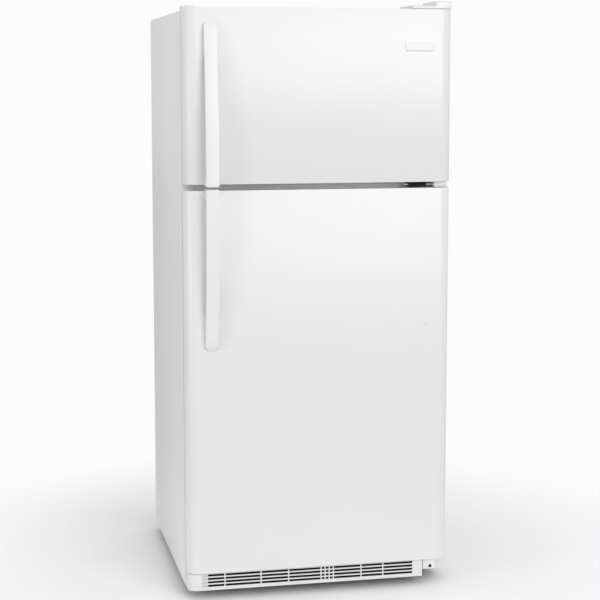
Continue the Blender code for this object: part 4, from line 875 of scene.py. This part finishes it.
class FRIDGE_OT_front_details(bpy.types.Operator):
    """Add the blank nameplate, the plug button, the toe grille and the blanking cap"""

    bl_idname = "fridge.front_details"
    bl_label = "Front details"

    BAFFLE_DEPTH, BAFFLE_IN, SLOTS_FROM = 0.014, 0.004, 0.056
    STOP_FROM, STOP_END, STOP_DEPTH, STOP_REACH = 0.036, 0.0555, 0.0045, 0.006
    RIM_SLOPE, RIM_WIDTH, RIM_BACK, FIELD_SUNK, PLATE_CORNER = 0.0007, 0.0019, 0.0004, 0.0006, 0.004

    def execute(self, context):
        plug, cap = "handle_hole_plug", "top_left_plug"
        self.plate()
        refinish("plug_button", plug, "fridge_door", "moulding", "white_plastic", 0.0002)
        self.grille()
        refinish("blanking_cap", cap, "cabinet", "moulding", "white_plastic")
        return {"FINISHED"}

    def grille(self):
        """The slotted moulding, a near-black sheet behind its slots as painted shade, and the stop that
        closes its left end.
        """
        refinish("toe_grille_moulding", "toe_grille", "cabinet", "grille", "grille_plastic", 0.0005)
        low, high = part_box("toe_grille")
        rear, foot, head = low.y + self.BAFFLE_DEPTH, low.z + self.BAFFLE_IN, high.z - 0.0002
        stop_end, slots = low.x + self.STOP_END, low.x + self.SLOTS_FROM
        # A near-black sheet set behind the slots: painted shade, so the slots read dark.
        baffle = block("grille_baffle", (slots, rear, foot), (high.x - self.BAFFLE_IN, rear + 0.001, head))
        fit(soften(baffle, 0.0003), "cabinet", "felt", "black_plastic")
        stop = block(
            "grille_end_stop", (low.x + self.STOP_FROM, low.y + self.STOP_DEPTH, foot),
            (stop_end, rear + self.STOP_REACH, head),
        )
        fit(soften(stop, 0.0008), "cabinet", "grille", "grille_plastic")

    def plate(self):
        """A thin plate with a raised bright rim round a plain white field."""
        low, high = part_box("nameplate")
        corners = ((low.x, low.z), (high.x, high.z))
        field = inward(corners, self.RIM_WIDTH)
        rings = (
            (*corners, high.y),
            (*corners, low.y + self.RIM_BACK),
            (*inward(corners, self.RIM_SLOPE), low.y),
            (*inward(field, -self.RIM_BACK), low.y),
            (*field, low.y + self.FIELD_SUNK),
        )
        plate = moulded("blank_nameplate", "Y", rings, self.PLATE_CORNER, 6)
        plate.data.materials.append(finish("brushed"))
        plate.data.materials.append(finish("moulding"))
        for face in plate.data.polygons:
            if abs(face.center.y - low.y - self.FIELD_SUNK) < HAIR / 10:
                face.material_index = 1
        smooth(plate)
        fit(plate, "freezer_door", None, "badge_metal", "nameplate")


class FRIDGE_OT_hinges(bpy.types.Operator):
    """Finish the three hinges and the cover of the top one"""

    bl_idname = "fridge.hinges"
    bl_label = "Hinges"

    PIN = 0.0105
    BUSH_IN, BUSH_DOWN, BUSH_DEPTH, BUSH_RADIUS = 0.0222, 0.022, 0.014, 0.0048
    SEAL_IN, SEAL_DEPTH = 0.001, 0.030
    SHIM_FROM, SHIM_END, SHIM_HALF, SHIM_CHAMFER = 0.010, 0.060, 0.0065, 0.002
    SHIM_BACK, SHIM_STRAIGHT, SHIM_DEPTH = 0.0032, 0.033, 0.035
    SCREW_IN, SCREW_HEIGHT = 0.005, 0.0025

    def execute(self, context):
        for name, node, material, slot, edge in (
            ("top_hinge_plate", "top_hinge", "zinc", "zinc_steel", 0.0005),
            ("top_hinge_cap", "top_hinge_cover", "moulding", "white_plastic", 0.0009),
            ("centre_hinge_plate", "centre_hinge", "enamel", "zinc_steel", 0.0005),
            ("bottom_hinge_bracket", "bottom_hinge", "enamel", "zinc_steel", 0.0005),
        ):
            refinish(name, node, "cabinet", material, slot, edge)
        self.shroud()
        self.bracket_inserts()
        return {"FINISHED"}

    def bracket_inserts(self):
        """The near-black plug in the bottom bracket's hole and the strip behind the gap between bracket and
        grille: both painted shade, so the hole and the gap read dark.
        """
        low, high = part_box("bottom_hinge")
        top = high.z - self.PIN
        x, z = low.x + self.BUSH_IN, top - self.BUSH_DOWN
        front, back = low.y + 0.0006, low.y + self.BUSH_DEPTH
        # A near-black plug in the hole: painted shade.
        bush = bar("bottom_hinge_bush", (x, front, z), (x, back, z), self.BUSH_RADIUS, 24)
        fit(soften(bush, 0.0006), "cabinet", "felt", "black_plastic")
        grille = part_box("toe_grille")[1].x
        # A near-black strip behind the gap between grille and bracket: painted shade.
        seal = block(
            "bottom_hinge_seal", (grille + HAIR, low.y + self.SEAL_IN, low.z + self.SEAL_IN),
            (low.x - HAIR, low.y + self.SEAL_DEPTH, top - self.SEAL_IN),
        )
        fit(soften(seal, 0.0004), "cabinet", "felt", "black_plastic")

    def shroud(self):
        """A near-black block in the gap beside the centre hinge, painted shade for its dark recess, with its
        screw.
        """
        low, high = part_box("centre_hinge")
        middle = (low.z + high.z) / 2
        right = high.x - self.SHIM_END
        rear = high.y - self.SHIM_BACK
        whole = ((low.x + self.SHIM_FROM, middle - self.SHIM_HALF), (right, middle + self.SHIM_HALF))
        rings = (
            (*whole, rear),
            (*whole, rear - self.SHIM_STRAIGHT),
            (*inward(whole, self.SHIM_CHAMFER), rear - self.SHIM_DEPTH),
        )
        # A near-black block in the gap: painted shade for the recess.
        shim = moulded("centre_hinge_shim", "Y", rings, self.SHIM_CHAMFER, 3)
        fit(smooth(shim), "cabinet", "felt", "black_plastic")
        x, front = low.x + self.SCREW_IN, rear - self.SCREW_HEIGHT
        head = bar("centre_hinge_screw", (x, rear, middle), (x, front, middle), SCREW_HEAD, 20)
        fit(soften(head, 0.0008), "cabinet", "zinc", "zinc_steel")


class FRIDGE_OT_rooms(bpy.types.Operator):
    """Form the two rooms' walls with rounded corners and shelf ledges"""

    bl_idname = "fridge.rooms"
    bl_label = "Rooms"

    # The machine space reaches this far in from the back, under an insulated wall.
    MACHINE_DEPTH, MACHINE_WALL = 0.235, 0.045
    LEDGE_OFF_REAR, LEDGE_SUNK = 0.003, 0.0005
    BEHIND_LIP = 0.1
    REAR_ROUND = 0.7

    def execute(self, context):
        corner = context.scene.fridge_room.corner
        self.freezer(corner)
        self.fridge(corner)
        return {"FINISHED"}

    def freezer(self, corner):
        """One straight box with a ledge on each side."""
        low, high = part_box("freezer_liner")
        side = freezer_room()[0]
        rings = self.rings(low, high, freezer_room(), high.y - LINER_LIP)
        walls = self.open_up(moulded("freezer_room_walls", "Y", rings, corner, 6), low.y, corner)
        shelf_low, shelf_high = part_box("freezer_shelf")
        ledges = self.ledges(side, [shelf_low.z + SHELF_FOOT], shelf_high.y)
        room = together("freezer_room_walls", [walls, *ledges])
        fit(room, "cabinet", "liner", "liner_plastic", "freezer_liner")

    def fridge(self, corner):
        """A box whose rear steps over the machine space, with a ledge for each shelf."""
        low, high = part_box("fridge_liner")
        side = fridge_room()[0]
        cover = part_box("machine_cover")[1]
        step_y = cover.y - self.MACHINE_DEPTH - self.MACHINE_WALL
        step_z = cover.z + self.MACHINE_WALL
        rings = self.rings(low, high, fridge_room(), step_y)
        walls = moulded("fridge_room_walls", "Y", rings, corner, 6)
        pick(walls, "FACE", lambda at, way: abs(at.y - step_y) < TOUCH)
        bpy.ops.mesh.bisect(plane_co=(0, 0, step_z), plane_no=(0, 0, 1))
        pick(walls, "FACE", lambda at, way: abs(at.y - step_y) < TOUCH and at.z > step_z)
        reach = high.y - LINER_LIP - step_y
        bpy.ops.mesh.extrude_region_move(TRANSFORM_OT_translate={"value": (0, reach, 0)})
        self.open_up(walls, low.y, corner)
        feet = [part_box(name)[0].z + SHELF_FOOT for name in ("lower_shelf", "upper_shelf")]
        feet.append(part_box("crisper_cover")[0].z)
        ledges = self.ledges(side, feet, high.y - self.LEDGE_OFF_REAR)
        room = together("fridge_room_walls", [walls, *ledges])
        fit(room, "cabinet", "liner", "liner_plastic", "fridge_liner")

    def rings(self, low, high, room, rear):
        """The lip round the front, and the walls back to the rear."""
        side, floor, ceiling = room
        walls = ((-side, floor), (side, ceiling))
        lip = ((low.x, low.z), (high.x, high.z))
        return ((*lip, low.y + LINER_LIP), (*lip, low.y), (*walls, low.y), (*walls, rear))

    def open_up(self, walls, front, corner):
        """Opens the front, rounds the inner corners and gives the walls their thickness outwards."""
        lip = front + LINER_LIP
        pick(walls, "FACE", lambda at, way: abs(at.y - lip) < TOUCH and abs(way.y) > ALONG)
        bpy.ops.mesh.delete(type="FACE")
        inner = lambda at, way: at.y > front + self.BEHIND_LIP and abs(way.y) < 1 - ALONG
        pick(walls, "EDGE", lambda at, way: inner(at, way) and self.turns(walls, at))
        bpy.ops.mesh.bevel(offset=corner * self.REAR_ROUND, segments=4, affect="EDGES")
        take(walls)
        bpy.ops.object.mode_set(mode="EDIT")
        bpy.ops.mesh.select_all(action="SELECT")
        bpy.ops.mesh.normals_make_consistent(inside=True)
        bpy.ops.object.mode_set(mode="OBJECT")
        modify(walls, "SOLIDIFY", thickness=LINER_WALL, offset=-1)
        return smooth(walls, 35)

    def turns(self, walls, at):
        """Whether this edge's middle lies where a rear wall or the step turns."""
        return round(at.y, 4) in {round(vertex.co.y, 4) for vertex in walls.data.vertices}

    def ledges(self, side, feet, rear):
        """A rail on each side under each of these shelf feet."""
        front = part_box("freezer_shelf")[0].y + LEDGE_SET_BACK
        made = []
        for foot in feet:
            for way in (-1, 1):
                near, far = sorted((way * (side - LEDGE_DEPTH), way * (side + self.LEDGE_SUNK)))
                ledge = block("ledge", (near, front, foot - LEDGE_HEIGHT), (far, rear, foot - HAIR))
                made.append(soften(ledge, 0.002, 3))
        return made


class FRIDGE_OT_freezer_fittings(bpy.types.Operator):
    """Build the wire shelf, the evaporator's cover, its fan guard and the fan"""

    bl_idname = "fridge.freezer_fittings"
    bl_label = "Freezer fittings"

    WIRE_IN, WIRE_FRONT, WIRE_REAR = 0.012, 0.003, 0.002
    ROD, ROD_IN, ROD_OFF_ENDS, ROD_SEAT, DROP_TOP = 1.5, 0.002, 0.120, 0.8, 0.004
    GUARD_RINGS, GUARD_WIRE = (0.012, 0.022, 0.032, 0.042), 0.0011
    SPOKES, SPOKE, SPOKE_REACH = 3, 0.0012, 0.0505
    FINS, FIN, FIN_OFF_BENDS, FIN_DEEP, FIN_HIGH = 60, 0.0003, 0.03, 0.012, 0.004

    def execute(self, context):
        self.wire_shelf(context.scene.fridge_room)
        refinish("evaporator_panel", "evaporator_cover", "cabinet", "liner", "liner_plastic", 0.0012)
        self.guard()
        self.fins()
        for fan in ("evaporator_fan", "condenser_fan"):
            refinish(f"{fan}_rotor", fan, fan, "black_plastic", "black_plastic", 0.0006)
        return {"FINISHED"}

    def wire_shelf(self, settings):
        """Coated wires from front to back on two pairs of cross rods."""
        low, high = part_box("freezer_shelf")
        foot = low.z + SHELF_FOOT
        wire, rod = settings.wire, settings.wire * self.ROD
        top = foot + SHELF_BOARD - wire
        left = low.x + self.WIRE_IN
        step = (high.x - self.WIRE_IN - left) / (settings.wires - 1)
        front, rear = low.y + self.WIRE_FRONT, high.y - self.WIRE_REAR
        one = bar("wire", (left, front, top), (left, rear, top), wire, 10)
        wires = row(one, settings.wires, (step, 0, 0))
        front, upper, lower = low.y + rod, foot + self.DROP_TOP, low.z + rod
        under = top - wire - rod * self.ROD_SEAT
        places = ((front, upper), (front, lower)) + tuple(
            (y, under) for y in (low.y + self.ROD_OFF_ENDS, high.y - self.ROD_OFF_ENDS, high.y - rod)
        )
        left_end, right_end = low.x + self.ROD_IN, high.x - self.ROD_IN
        rods = [bar("rod", (left_end, y, z), (right_end, y, z), rod, 12) for y, z in places]
        drop = bar("drop", (left, front, lower), (left, front, upper), wire, 8)
        drops = row(drop, settings.wires, (step, 0, 0))
        shelf = smooth(together("wire_shelf", [wires, drops, *rods]), 50)
        fit(shelf, "cabinet", "moulding", "white_plastic", "freezer_shelf")

    def guard(self):
        """Rings and spokes over the fan's opening."""
        low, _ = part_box("evaporator_cover")
        fan_low, fan_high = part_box("evaporator_fan")
        centre = Vector((0, low.y + 0.002, (fan_low.z + fan_high.z) / 2))
        parts = [ring("ring", centre, (0, 1, 0), radius, self.GUARD_WIRE) for radius in self.GUARD_RINGS]
        for turn in range(self.SPOKES):
            angle = math.pi * turn / self.SPOKES
            reach = Vector((math.cos(angle), 0, math.sin(angle))) * self.SPOKE_REACH
            parts.append(bar("spoke", centre - reach, centre + reach, self.SPOKE, 10))
        guard = smooth(together("fan_guard", parts), 50)
        fit(guard, "cabinet", "moulding", "white_plastic")

    def fins(self):
        """Thin plates across the evaporator's tube."""
        low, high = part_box("evaporator")
        left = low.x + self.FIN_OFF_BENDS
        step = (high.x - low.x - 2 * self.FIN_OFF_BENDS) / (self.FINS - 1)
        near = (left, low.y - self.FIN_DEEP, low.z - self.FIN_HIGH)
        far = (left + self.FIN, high.y + self.FIN_DEEP, high.z + self.FIN_HIGH)
        fins = row(block("fin", near, far), self.FINS, (step, 0, 0))
        fins.name = "evaporator_fins"
        fit(fins, "cabinet", "aluminium", "aluminium")


class FRIDGE_OT_shelves(bpy.types.Operator):
    """Frame the glass shelves and the crispers' cover"""

    bl_idname = "fridge.shelves"
    bl_label = "Shelves"

    RIM, RIM_ROUND = 0.014, 0.0018
    TRIM_IN, TRIM_DEPTH = 0.012, 0.012
    PANE_SEAT, PANE_FRONT, PANE_UNDER, PANE_OVER = 0.002, 0.010, 0.0015, 0.001

    def execute(self, context):
        for node in ("lower_shelf", "upper_shelf"):
            low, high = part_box(node)
            foot = low.z + SHELF_FOOT
            self.framed(node, (low.x, low.y, foot), (high.x, high.y, foot + SHELF_BOARD), low.z)
        low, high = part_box("crisper_cover")
        self.framed("crisper_cover", low, high, low.z)
        return {"FINISHED"}

    def framed(self, node, low, high, trim_foot):
        """A pane in a moulded frame with a deeper lip along its front."""
        low, high = Vector(low), Vector(high)
        rim, seat, inset = self.RIM, self.RIM - self.PANE_SEAT, self.TRIM_IN
        parts = [
            block("left", low, (low.x + rim, high.y, high.z)),
            block("right", (high.x - rim, low.y, low.z), high),
            block("rear", (low.x + rim, high.y - rim, low.z), (high.x - rim, high.y, high.z)),
            block(
                "front", (low.x + inset, low.y, trim_foot), (high.x - inset, low.y + self.TRIM_DEPTH, high.z)
            ),
        ]
        for part in parts:
            soften(part, self.RIM_ROUND, 3)
        fit(together(node + "_frame", parts), "cabinet", "moulding", "white_plastic", node)
        pane = block(
            node + "_pane", (low.x + seat, low.y + self.PANE_FRONT, low.z + self.PANE_UNDER),
            (high.x - seat, high.y - seat, high.z - self.PANE_OVER),
        )
        fit(soften(pane, 0.0004), "cabinet", "glass", "shelf_glass")


class FRIDGE_OT_drawers(bpy.types.Operator):
    """Mould the crispers, the door bins and the dairy compartment"""

    bl_idname = "fridge.drawers"
    bl_label = "Drawers and bins"

    FLOOR_ROUND, FLOOR_RISE = 0.003, 0.004
    RIM_FROM, RIM_UNDER = 0.006, 0.004
    GRIP_REACH, GRIP_LAP, GRIP_IN, GRIP_LOW, GRIP_HIGH = 0.012, 0.004, 0.06, 0.026, 0.010
    GRIP_WALL, GRIP_DEEP = 0.003, 0.010
    BAND_IN, BAND_HALF, BAND_LOW, BAND_HIGH = 0.010, 0.0012, 0.022, 0.006
    PULL_HALF, PULL_LAP, PULL_REACH, PULL_LOW, PULL_HIGH = 0.060, 0.001, 0.006, 0.006, 0.012

    def execute(self, context):
        corner = context.scene.fridge_room.bin_corner
        for name in ("left_crisper", "right_crisper"):
            self.crisper(name, corner)
        for door in ("freezer_door", "fridge_door"):
            for place in ("lower", "upper"):
                self.bin(door, f"{door}_{place}_bin", corner)
        self.dairy()
        return {"FINISHED"}

    def tub(self, name, low, high, wall, corner, draft=0.004, lip=0.0):
        """An open box with rounded corners, drawn in towards its floor, with a rolled rim."""
        outer = ((low.x, low.y), (high.x, high.y))
        foot = inward(outer, draft)
        rings = [
            (*inward(foot, self.FLOOR_ROUND), low.z),
            (*foot, low.z + self.FLOOR_RISE),
            (*inward(outer, lip), high.z - self.RIM_FROM),
            (*outer, high.z - self.RIM_UNDER),
            (*outer, high.z),
            (*inward(outer, wall + lip), high.z),
            (*inward(foot, wall), low.z + wall + self.FLOOR_RISE),
            (*inward(foot, wall + self.FLOOR_ROUND), low.z + wall),
        ]
        tub = moulded(name, "Z", rings, corner, 6)
        return soften(tub, 0.0005, 2, 45)

    def crisper(self, name, corner):
        low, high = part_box(name)
        body = low.copy()
        body.y = low.y + self.GRIP_REACH
        tub = self.tub(name + "_tub", body, high, 0.003, corner, 0.006, 0.0015)
        grip = block(
            "grip", (low.x + self.GRIP_IN, low.y, high.z - self.GRIP_LOW),
            (high.x - self.GRIP_IN, body.y + self.GRIP_LAP, high.z - self.GRIP_HIGH),
        )
        pick(grip, "FACE", lambda at, way: way.z < -ALONG)
        bpy.ops.mesh.inset(thickness=self.GRIP_WALL, depth=-self.GRIP_DEEP)
        done(grip)
        soften(grip, 0.002, 3)
        drawer = together(name + "_drawer", [tub, grip])
        fit(drawer, name, "clear", "clear_plastic", name)

    def bin(self, door, name, corner):
        low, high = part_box(name)
        tub = self.tub(name + "_tub", low, high, 0.0025, corner, 0.003, 0.0012)
        fit(tub, door, "clear", "clear_plastic", name)
        band = block(
            name + "_band", (low.x + self.BAND_IN, high.y - self.BAND_HALF, high.z - self.BAND_LOW),
            (high.x - self.BAND_IN, high.y + self.BAND_HALF, high.z - self.BAND_HIGH),
        )
        fit(soften(band, 0.001), door, "moulding", "white_plastic")

    def dairy(self):
        low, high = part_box("dairy_tray")
        tray = self.tub("dairy_tray_tub", low, high, 0.0025, 0.006, 0.001)
        fit(tray, "fridge_door", "clear", "clear_plastic", "dairy_tray")
        cover = "dairy_cover"
        refinish("dairy_cover_shell", cover, cover, "clear", "clear_plastic", 0.0009, 2, 35)
        low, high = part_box(cover)
        pull = block(
            "dairy_pull", (-self.PULL_HALF, high.y - self.PULL_LAP, low.z + self.PULL_LOW),
            (self.PULL_HALF, high.y + self.PULL_REACH, low.z + self.PULL_HIGH),
        )
        fit(soften(pull, 0.002, 3), cover, "moulding", "white_plastic")


class FRIDGE_OT_controls(bpy.types.Operator):
    """Finish the control box: dials, printed scales, lamp with its thread, door switch"""

    bl_idname = "fridge.controls"
    bl_label = "Controls"

    GRIP_HALF, GRIP_REACH, GRIP_OFF_RIM = 0.0035, 0.010, 0.003
    MARK_HALF, MARK_PROUD, MARK_SUNK, MARK_LOW, MARK_HIGH = 0.0006, 0.0002, 0.0004, 0.010, 0.004
    TICKS, TICK_FIRST, TICK_STEP = 10, 225, 30
    TICK_FROM, TICK_LONG, TICK_RADIUS = 0.0215, 0.0032, 0.0004
    TURNS, TURN_FIRST, TURN_RISE, TURN_RADIUS, TURN_WIRE = 5, 0.004, 0.0028, 0.0121, 0.0009

    def execute(self, context):
        refinish("control_housing", "control_box", "cabinet", "moulding", "white_plastic", 0.0012)
        for node in ("freezer_control_knob", "fridge_control_knob"):
            self.dial(node)
        self.lamp()
        switch = "light_switch"
        refinish("light_switch_plunger", switch, switch, "moulding", "white_plastic", 0.0006)
        return {"FINISHED"}

    def dial(self, node):
        """A round dial with a grip bar across it, and a scale on the housing behind."""
        low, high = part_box(node)
        centre = (low + high) / 2
        disc = from_solid("disc", node, 0.0008)
        grip = block(
            "grip", (centre.x - self.GRIP_HALF, low.y, low.z + self.GRIP_OFF_RIM),
            (centre.x + self.GRIP_HALF, low.y + self.GRIP_REACH, high.z - self.GRIP_OFF_RIM),
        )
        soften(grip, 0.0015, 3)
        fit(together(node + "_dial", [disc, grip]), node, "moulding", "white_plastic", node)
        mark = block(
            node + "_pointer", (centre.x - self.MARK_HALF, low.y - self.MARK_PROUD, high.z - self.MARK_LOW),
            (centre.x + self.MARK_HALF, low.y + self.MARK_SUNK, high.z - self.MARK_HIGH),
        )
        fit(mark, node, "ink", "black_plastic")
        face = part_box("control_box")[0].y
        ticks = []
        for i in range(self.TICKS):
            angle = math.radians(self.TICK_FIRST - self.TICK_STEP * i)
            out = Vector((math.cos(angle), 0, math.sin(angle)))
            near = Vector((centre.x, face, centre.z)) + out * self.TICK_FROM
            ticks.append(bar("tick", near, near + out * self.TICK_LONG, self.TICK_RADIUS, 6))
        fit(together(node + "_scale", ticks), "cabinet", "ink", "black_plastic")

    def lamp(self):
        """The bulb and the turns of its thread."""
        refinish("lamp_bulb", "lamp", "cabinet", "bulb", "bulb_glass")
        low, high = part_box("lamp")
        centre = (low + high) / 2
        turns = []
        for i in range(self.TURNS):
            place = (centre.x, low.y + self.TURN_FIRST + self.TURN_RISE * i, centre.z)
            turns.append(ring("turn", place, (0, 1, 0), self.TURN_RADIUS, self.TURN_WIRE, 32))
        fit(smooth(together("lamp_thread", turns), 50), "cabinet", "brushed", "aluminium")


class FRIDGE_OT_machine(bpy.types.Operator):
    """Finish the machine space: compressor, tubes, fan motor, drain pan, rollers and legs"""

    bl_idname = "fridge.machine"
    bl_label = "Machine space"

    TURNS, TURN_FIRST, TURN_RISE, TURN_RADIUS, TURN_WIRE = 18, 0.011, 0.00125, 0.0050, 0.0006
    # A stub's side and its height.
    STUBS = ((-1, 0.115), (-1, 0.135), (1, 0.120))
    STUB_OUT, STUB_BACK, STUB_LONG, STUB_BEND, STUB_RADIUS = 0.070, 0.045, 0.045, -0.010, 0.0035

    def execute(self, context):
        refinish("compressor_can", "compressor", "cabinet", "black_enamel", "black_enamel", 0.0015)
        refinish("condenser_motor", "condenser_fan_motor", "cabinet", "zinc", "zinc_steel", 0.0006)
        refinish("evaporator_motor", "evaporator_fan_motor", "cabinet", "zinc", "zinc_steel", 0.0006)
        refinish("drain_pan_tub", "drain_pan", "cabinet", "black_plastic", "black_plastic", 0.0008)
        sides = ("left", "right")
        for side in sides:
            roller = f"rear_{side}_roller"
            refinish(f"{side}_roller_wheel", roller, roller, "rubber", "black_plastic", 0.0012)
        for side in sides:
            leg = f"{side}_levelling_leg"
            refinish(f"{side}_leg_screw", leg, leg, "zinc", "zinc_steel", 0.0005)
        for side in sides:
            self.thread(side)
        self.tubes()
        return {"FINISHED"}

    def thread(self, side):
        """The thread on a levelling leg's shank."""
        low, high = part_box(f"{side}_levelling_leg")
        x, y = (low.x + high.x) / 2, (low.y + high.y) / 2
        turn = ring("turn", (x, y, self.TURN_FIRST), (0, 0, 1), self.TURN_RADIUS, self.TURN_WIRE, 24)
        thread = row(turn, self.TURNS, (0, 0, self.TURN_RISE))
        thread.name = f"{side}_leg_thread"
        fit(smooth(thread, 60), f"{side}_levelling_leg", "zinc", "zinc_steel")

    def tubes(self):
        """The suction and discharge stubs on the compressor's side."""
        low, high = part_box("compressor")
        x = (low.x + high.x) / 2
        parts = []
        for way, z in self.STUBS:
            start = Vector((x + way * self.STUB_OUT, low.y + self.STUB_BACK, z))
            end = start + Vector((way * self.STUB_LONG, self.STUB_BEND, 0))
            parts.append(bar("stub", start, end, self.STUB_RADIUS, 14))
        fit(smooth(together("compressor_stubs", parts), 50), "cabinet", "copper", "zinc_steel")


class FRIDGE_OT_paint(bpy.types.Operator):
    """Give every solid that still shows the finish of its material slot"""

    bl_idname = "fridge.paint"
    bl_label = "Paint the rest"

    def execute(self, context):
        slots = {part["node"]: part["material_slot"] for part in frame["record"]["subparts"]}
        for name, node in NODES.items():
            if node.hide_render:
                continue
            node.data.materials.clear()
            node.data.materials.append(finish(FINISH_OF_SLOT[slots[name]]))
        return {"FINISHED"}


class FRIDGE_OT_stage(bpy.types.Operator):
    """Set the plain floor, the soft studio light and the camera"""

    bl_idname = "fridge.stage"
    bl_label = "Stage"

    FLOOR, FLOOR_UNDER = 60, -0.0005
    # A light's place, and its width and height. Both look at the middle of the object.
    KEY_PLACE, KEY_SIZE = (1.5, -4.6, 2.6), (2.6, 2.6)
    SIDE_PLACE, SIDE_SIZE = (-4.2, -2.2, 1.3), (0.9, 2.6)
    TARGET = (0, 0, 0.9)
    CAMERA_PLACE = (-0.9631, -4.555, 1.4497)
    CAMERA_DOWN, CAMERA_ROUND = 6.84, -12.15

    def execute(self, context):
        settings = context.scene.fridge_stage
        scene = context.scene
        free()
        bpy.ops.mesh.primitive_plane_add(size=self.FLOOR, location=(0, 0, self.FLOOR_UNDER))
        floor = settle(bpy.context.object, "studio_floor")
        floor.data.materials.append(finish("backdrop"))
        scene.world = self.studio(settings)
        scene.view_settings.view_transform = "Standard"
        self.light("key", self.KEY_PLACE, settings.key, self.KEY_SIZE)
        self.light("side", self.SIDE_PLACE, settings.side, self.SIDE_SIZE)
        camera = bpy.data.cameras.new("camera")
        camera.lens = settings.lens
        camera.shift_y = settings.shift
        camera.dof.use_dof = False
        obj = bpy.data.objects.new("camera", camera)
        obj.location = self.CAMERA_PLACE
        pitch = math.radians(90 - self.CAMERA_DOWN)
        obj.rotation_euler = (pitch, 0, math.radians(self.CAMERA_ROUND))
        scene.collection.objects.link(obj)
        scene.camera = obj
        return {"FINISHED"}

    def studio(self, settings):
        """A white room that looks brighter than it lights."""
        world = bpy.data.worlds.new("studio")
        world.use_nodes = True
        tree = world.node_tree
        strength = seen_strength(tree, settings.surround, settings.white)
        tree.nodes["Background"].inputs["Color"].default_value = (1, 1, 1, 1)
        tree.links.new(strength, tree.nodes["Background"].inputs["Strength"])
        return world

    def light(self, name, place, power, size):
        """A large soft light aimed at the object."""
        data = bpy.data.lights.new(name, "AREA")
        data.energy = power
        data.shape = "RECTANGLE"
        data.size, data.size_y = size
        obj = bpy.data.objects.new(name, data)
        obj.location = place
        aim = Vector(self.TARGET) - Vector(place)
        obj.rotation_euler = aim.to_track_quat("-Z", "Y").to_euler()
        bpy.context.scene.collection.objects.link(obj)


STEPS = (
    FRIDGE_OT_cabinet,
    FRIDGE_OT_doors,
    FRIDGE_OT_handles,
    FRIDGE_OT_front_details,
    FRIDGE_OT_hinges,
    FRIDGE_OT_rooms,
    FRIDGE_OT_freezer_fittings,
    FRIDGE_OT_shelves,
    FRIDGE_OT_drawers,
    FRIDGE_OT_controls,
    FRIDGE_OT_machine,
    FRIDGE_OT_paint,
    FRIDGE_OT_stage,
)
SETTINGS = {
    "fridge_enamel": EnamelSettings,
    "fridge_moulding": MouldingSettings,
    "fridge_door": DoorSettings,
    "fridge_handle": HandleSettings,
    "fridge_room": RoomSettings,
    "fridge_stage": StageSettings,
}


class FRIDGE_PT_panel(bpy.types.Panel):
    """The refrigerator's settings and steps"""

    bl_idname = "FRIDGE_PT_panel"
    bl_label = "Refrigerator"
    bl_space_type = "VIEW_3D"
    bl_region_type = "UI"
    bl_category = "Refrigerator"

    def draw(self, context):
        for name in SETTINGS:
            group = getattr(context.scene, name)
            column = self.layout.box().column()
            for key in group.__annotations__:
                column.prop(group, key)
        for step in STEPS:
            self.layout.operator(step.bl_idname)


def register():
    for group in SETTINGS.values():
        bpy.utils.register_class(group)
    for step in STEPS:
        bpy.utils.register_class(step)
    bpy.utils.register_class(FRIDGE_PT_panel)
    for name, group in SETTINGS.items():
        setattr(bpy.types.Scene, name, PointerProperty(type=group))


def unregister():
    for name in SETTINGS:
        delattr(bpy.types.Scene, name)
    bpy.utils.unregister_class(FRIDGE_PT_panel)
    for step in reversed(STEPS):
        bpy.utils.unregister_class(step)
    for group in SETTINGS.values():
        bpy.utils.unregister_class(group)


def main():
    register()
    for step in STEPS:
        category, name = step.bl_idname.split(".")
        getattr(getattr(bpy.ops, category), name)()


if __name__ == "__main__":
    main()
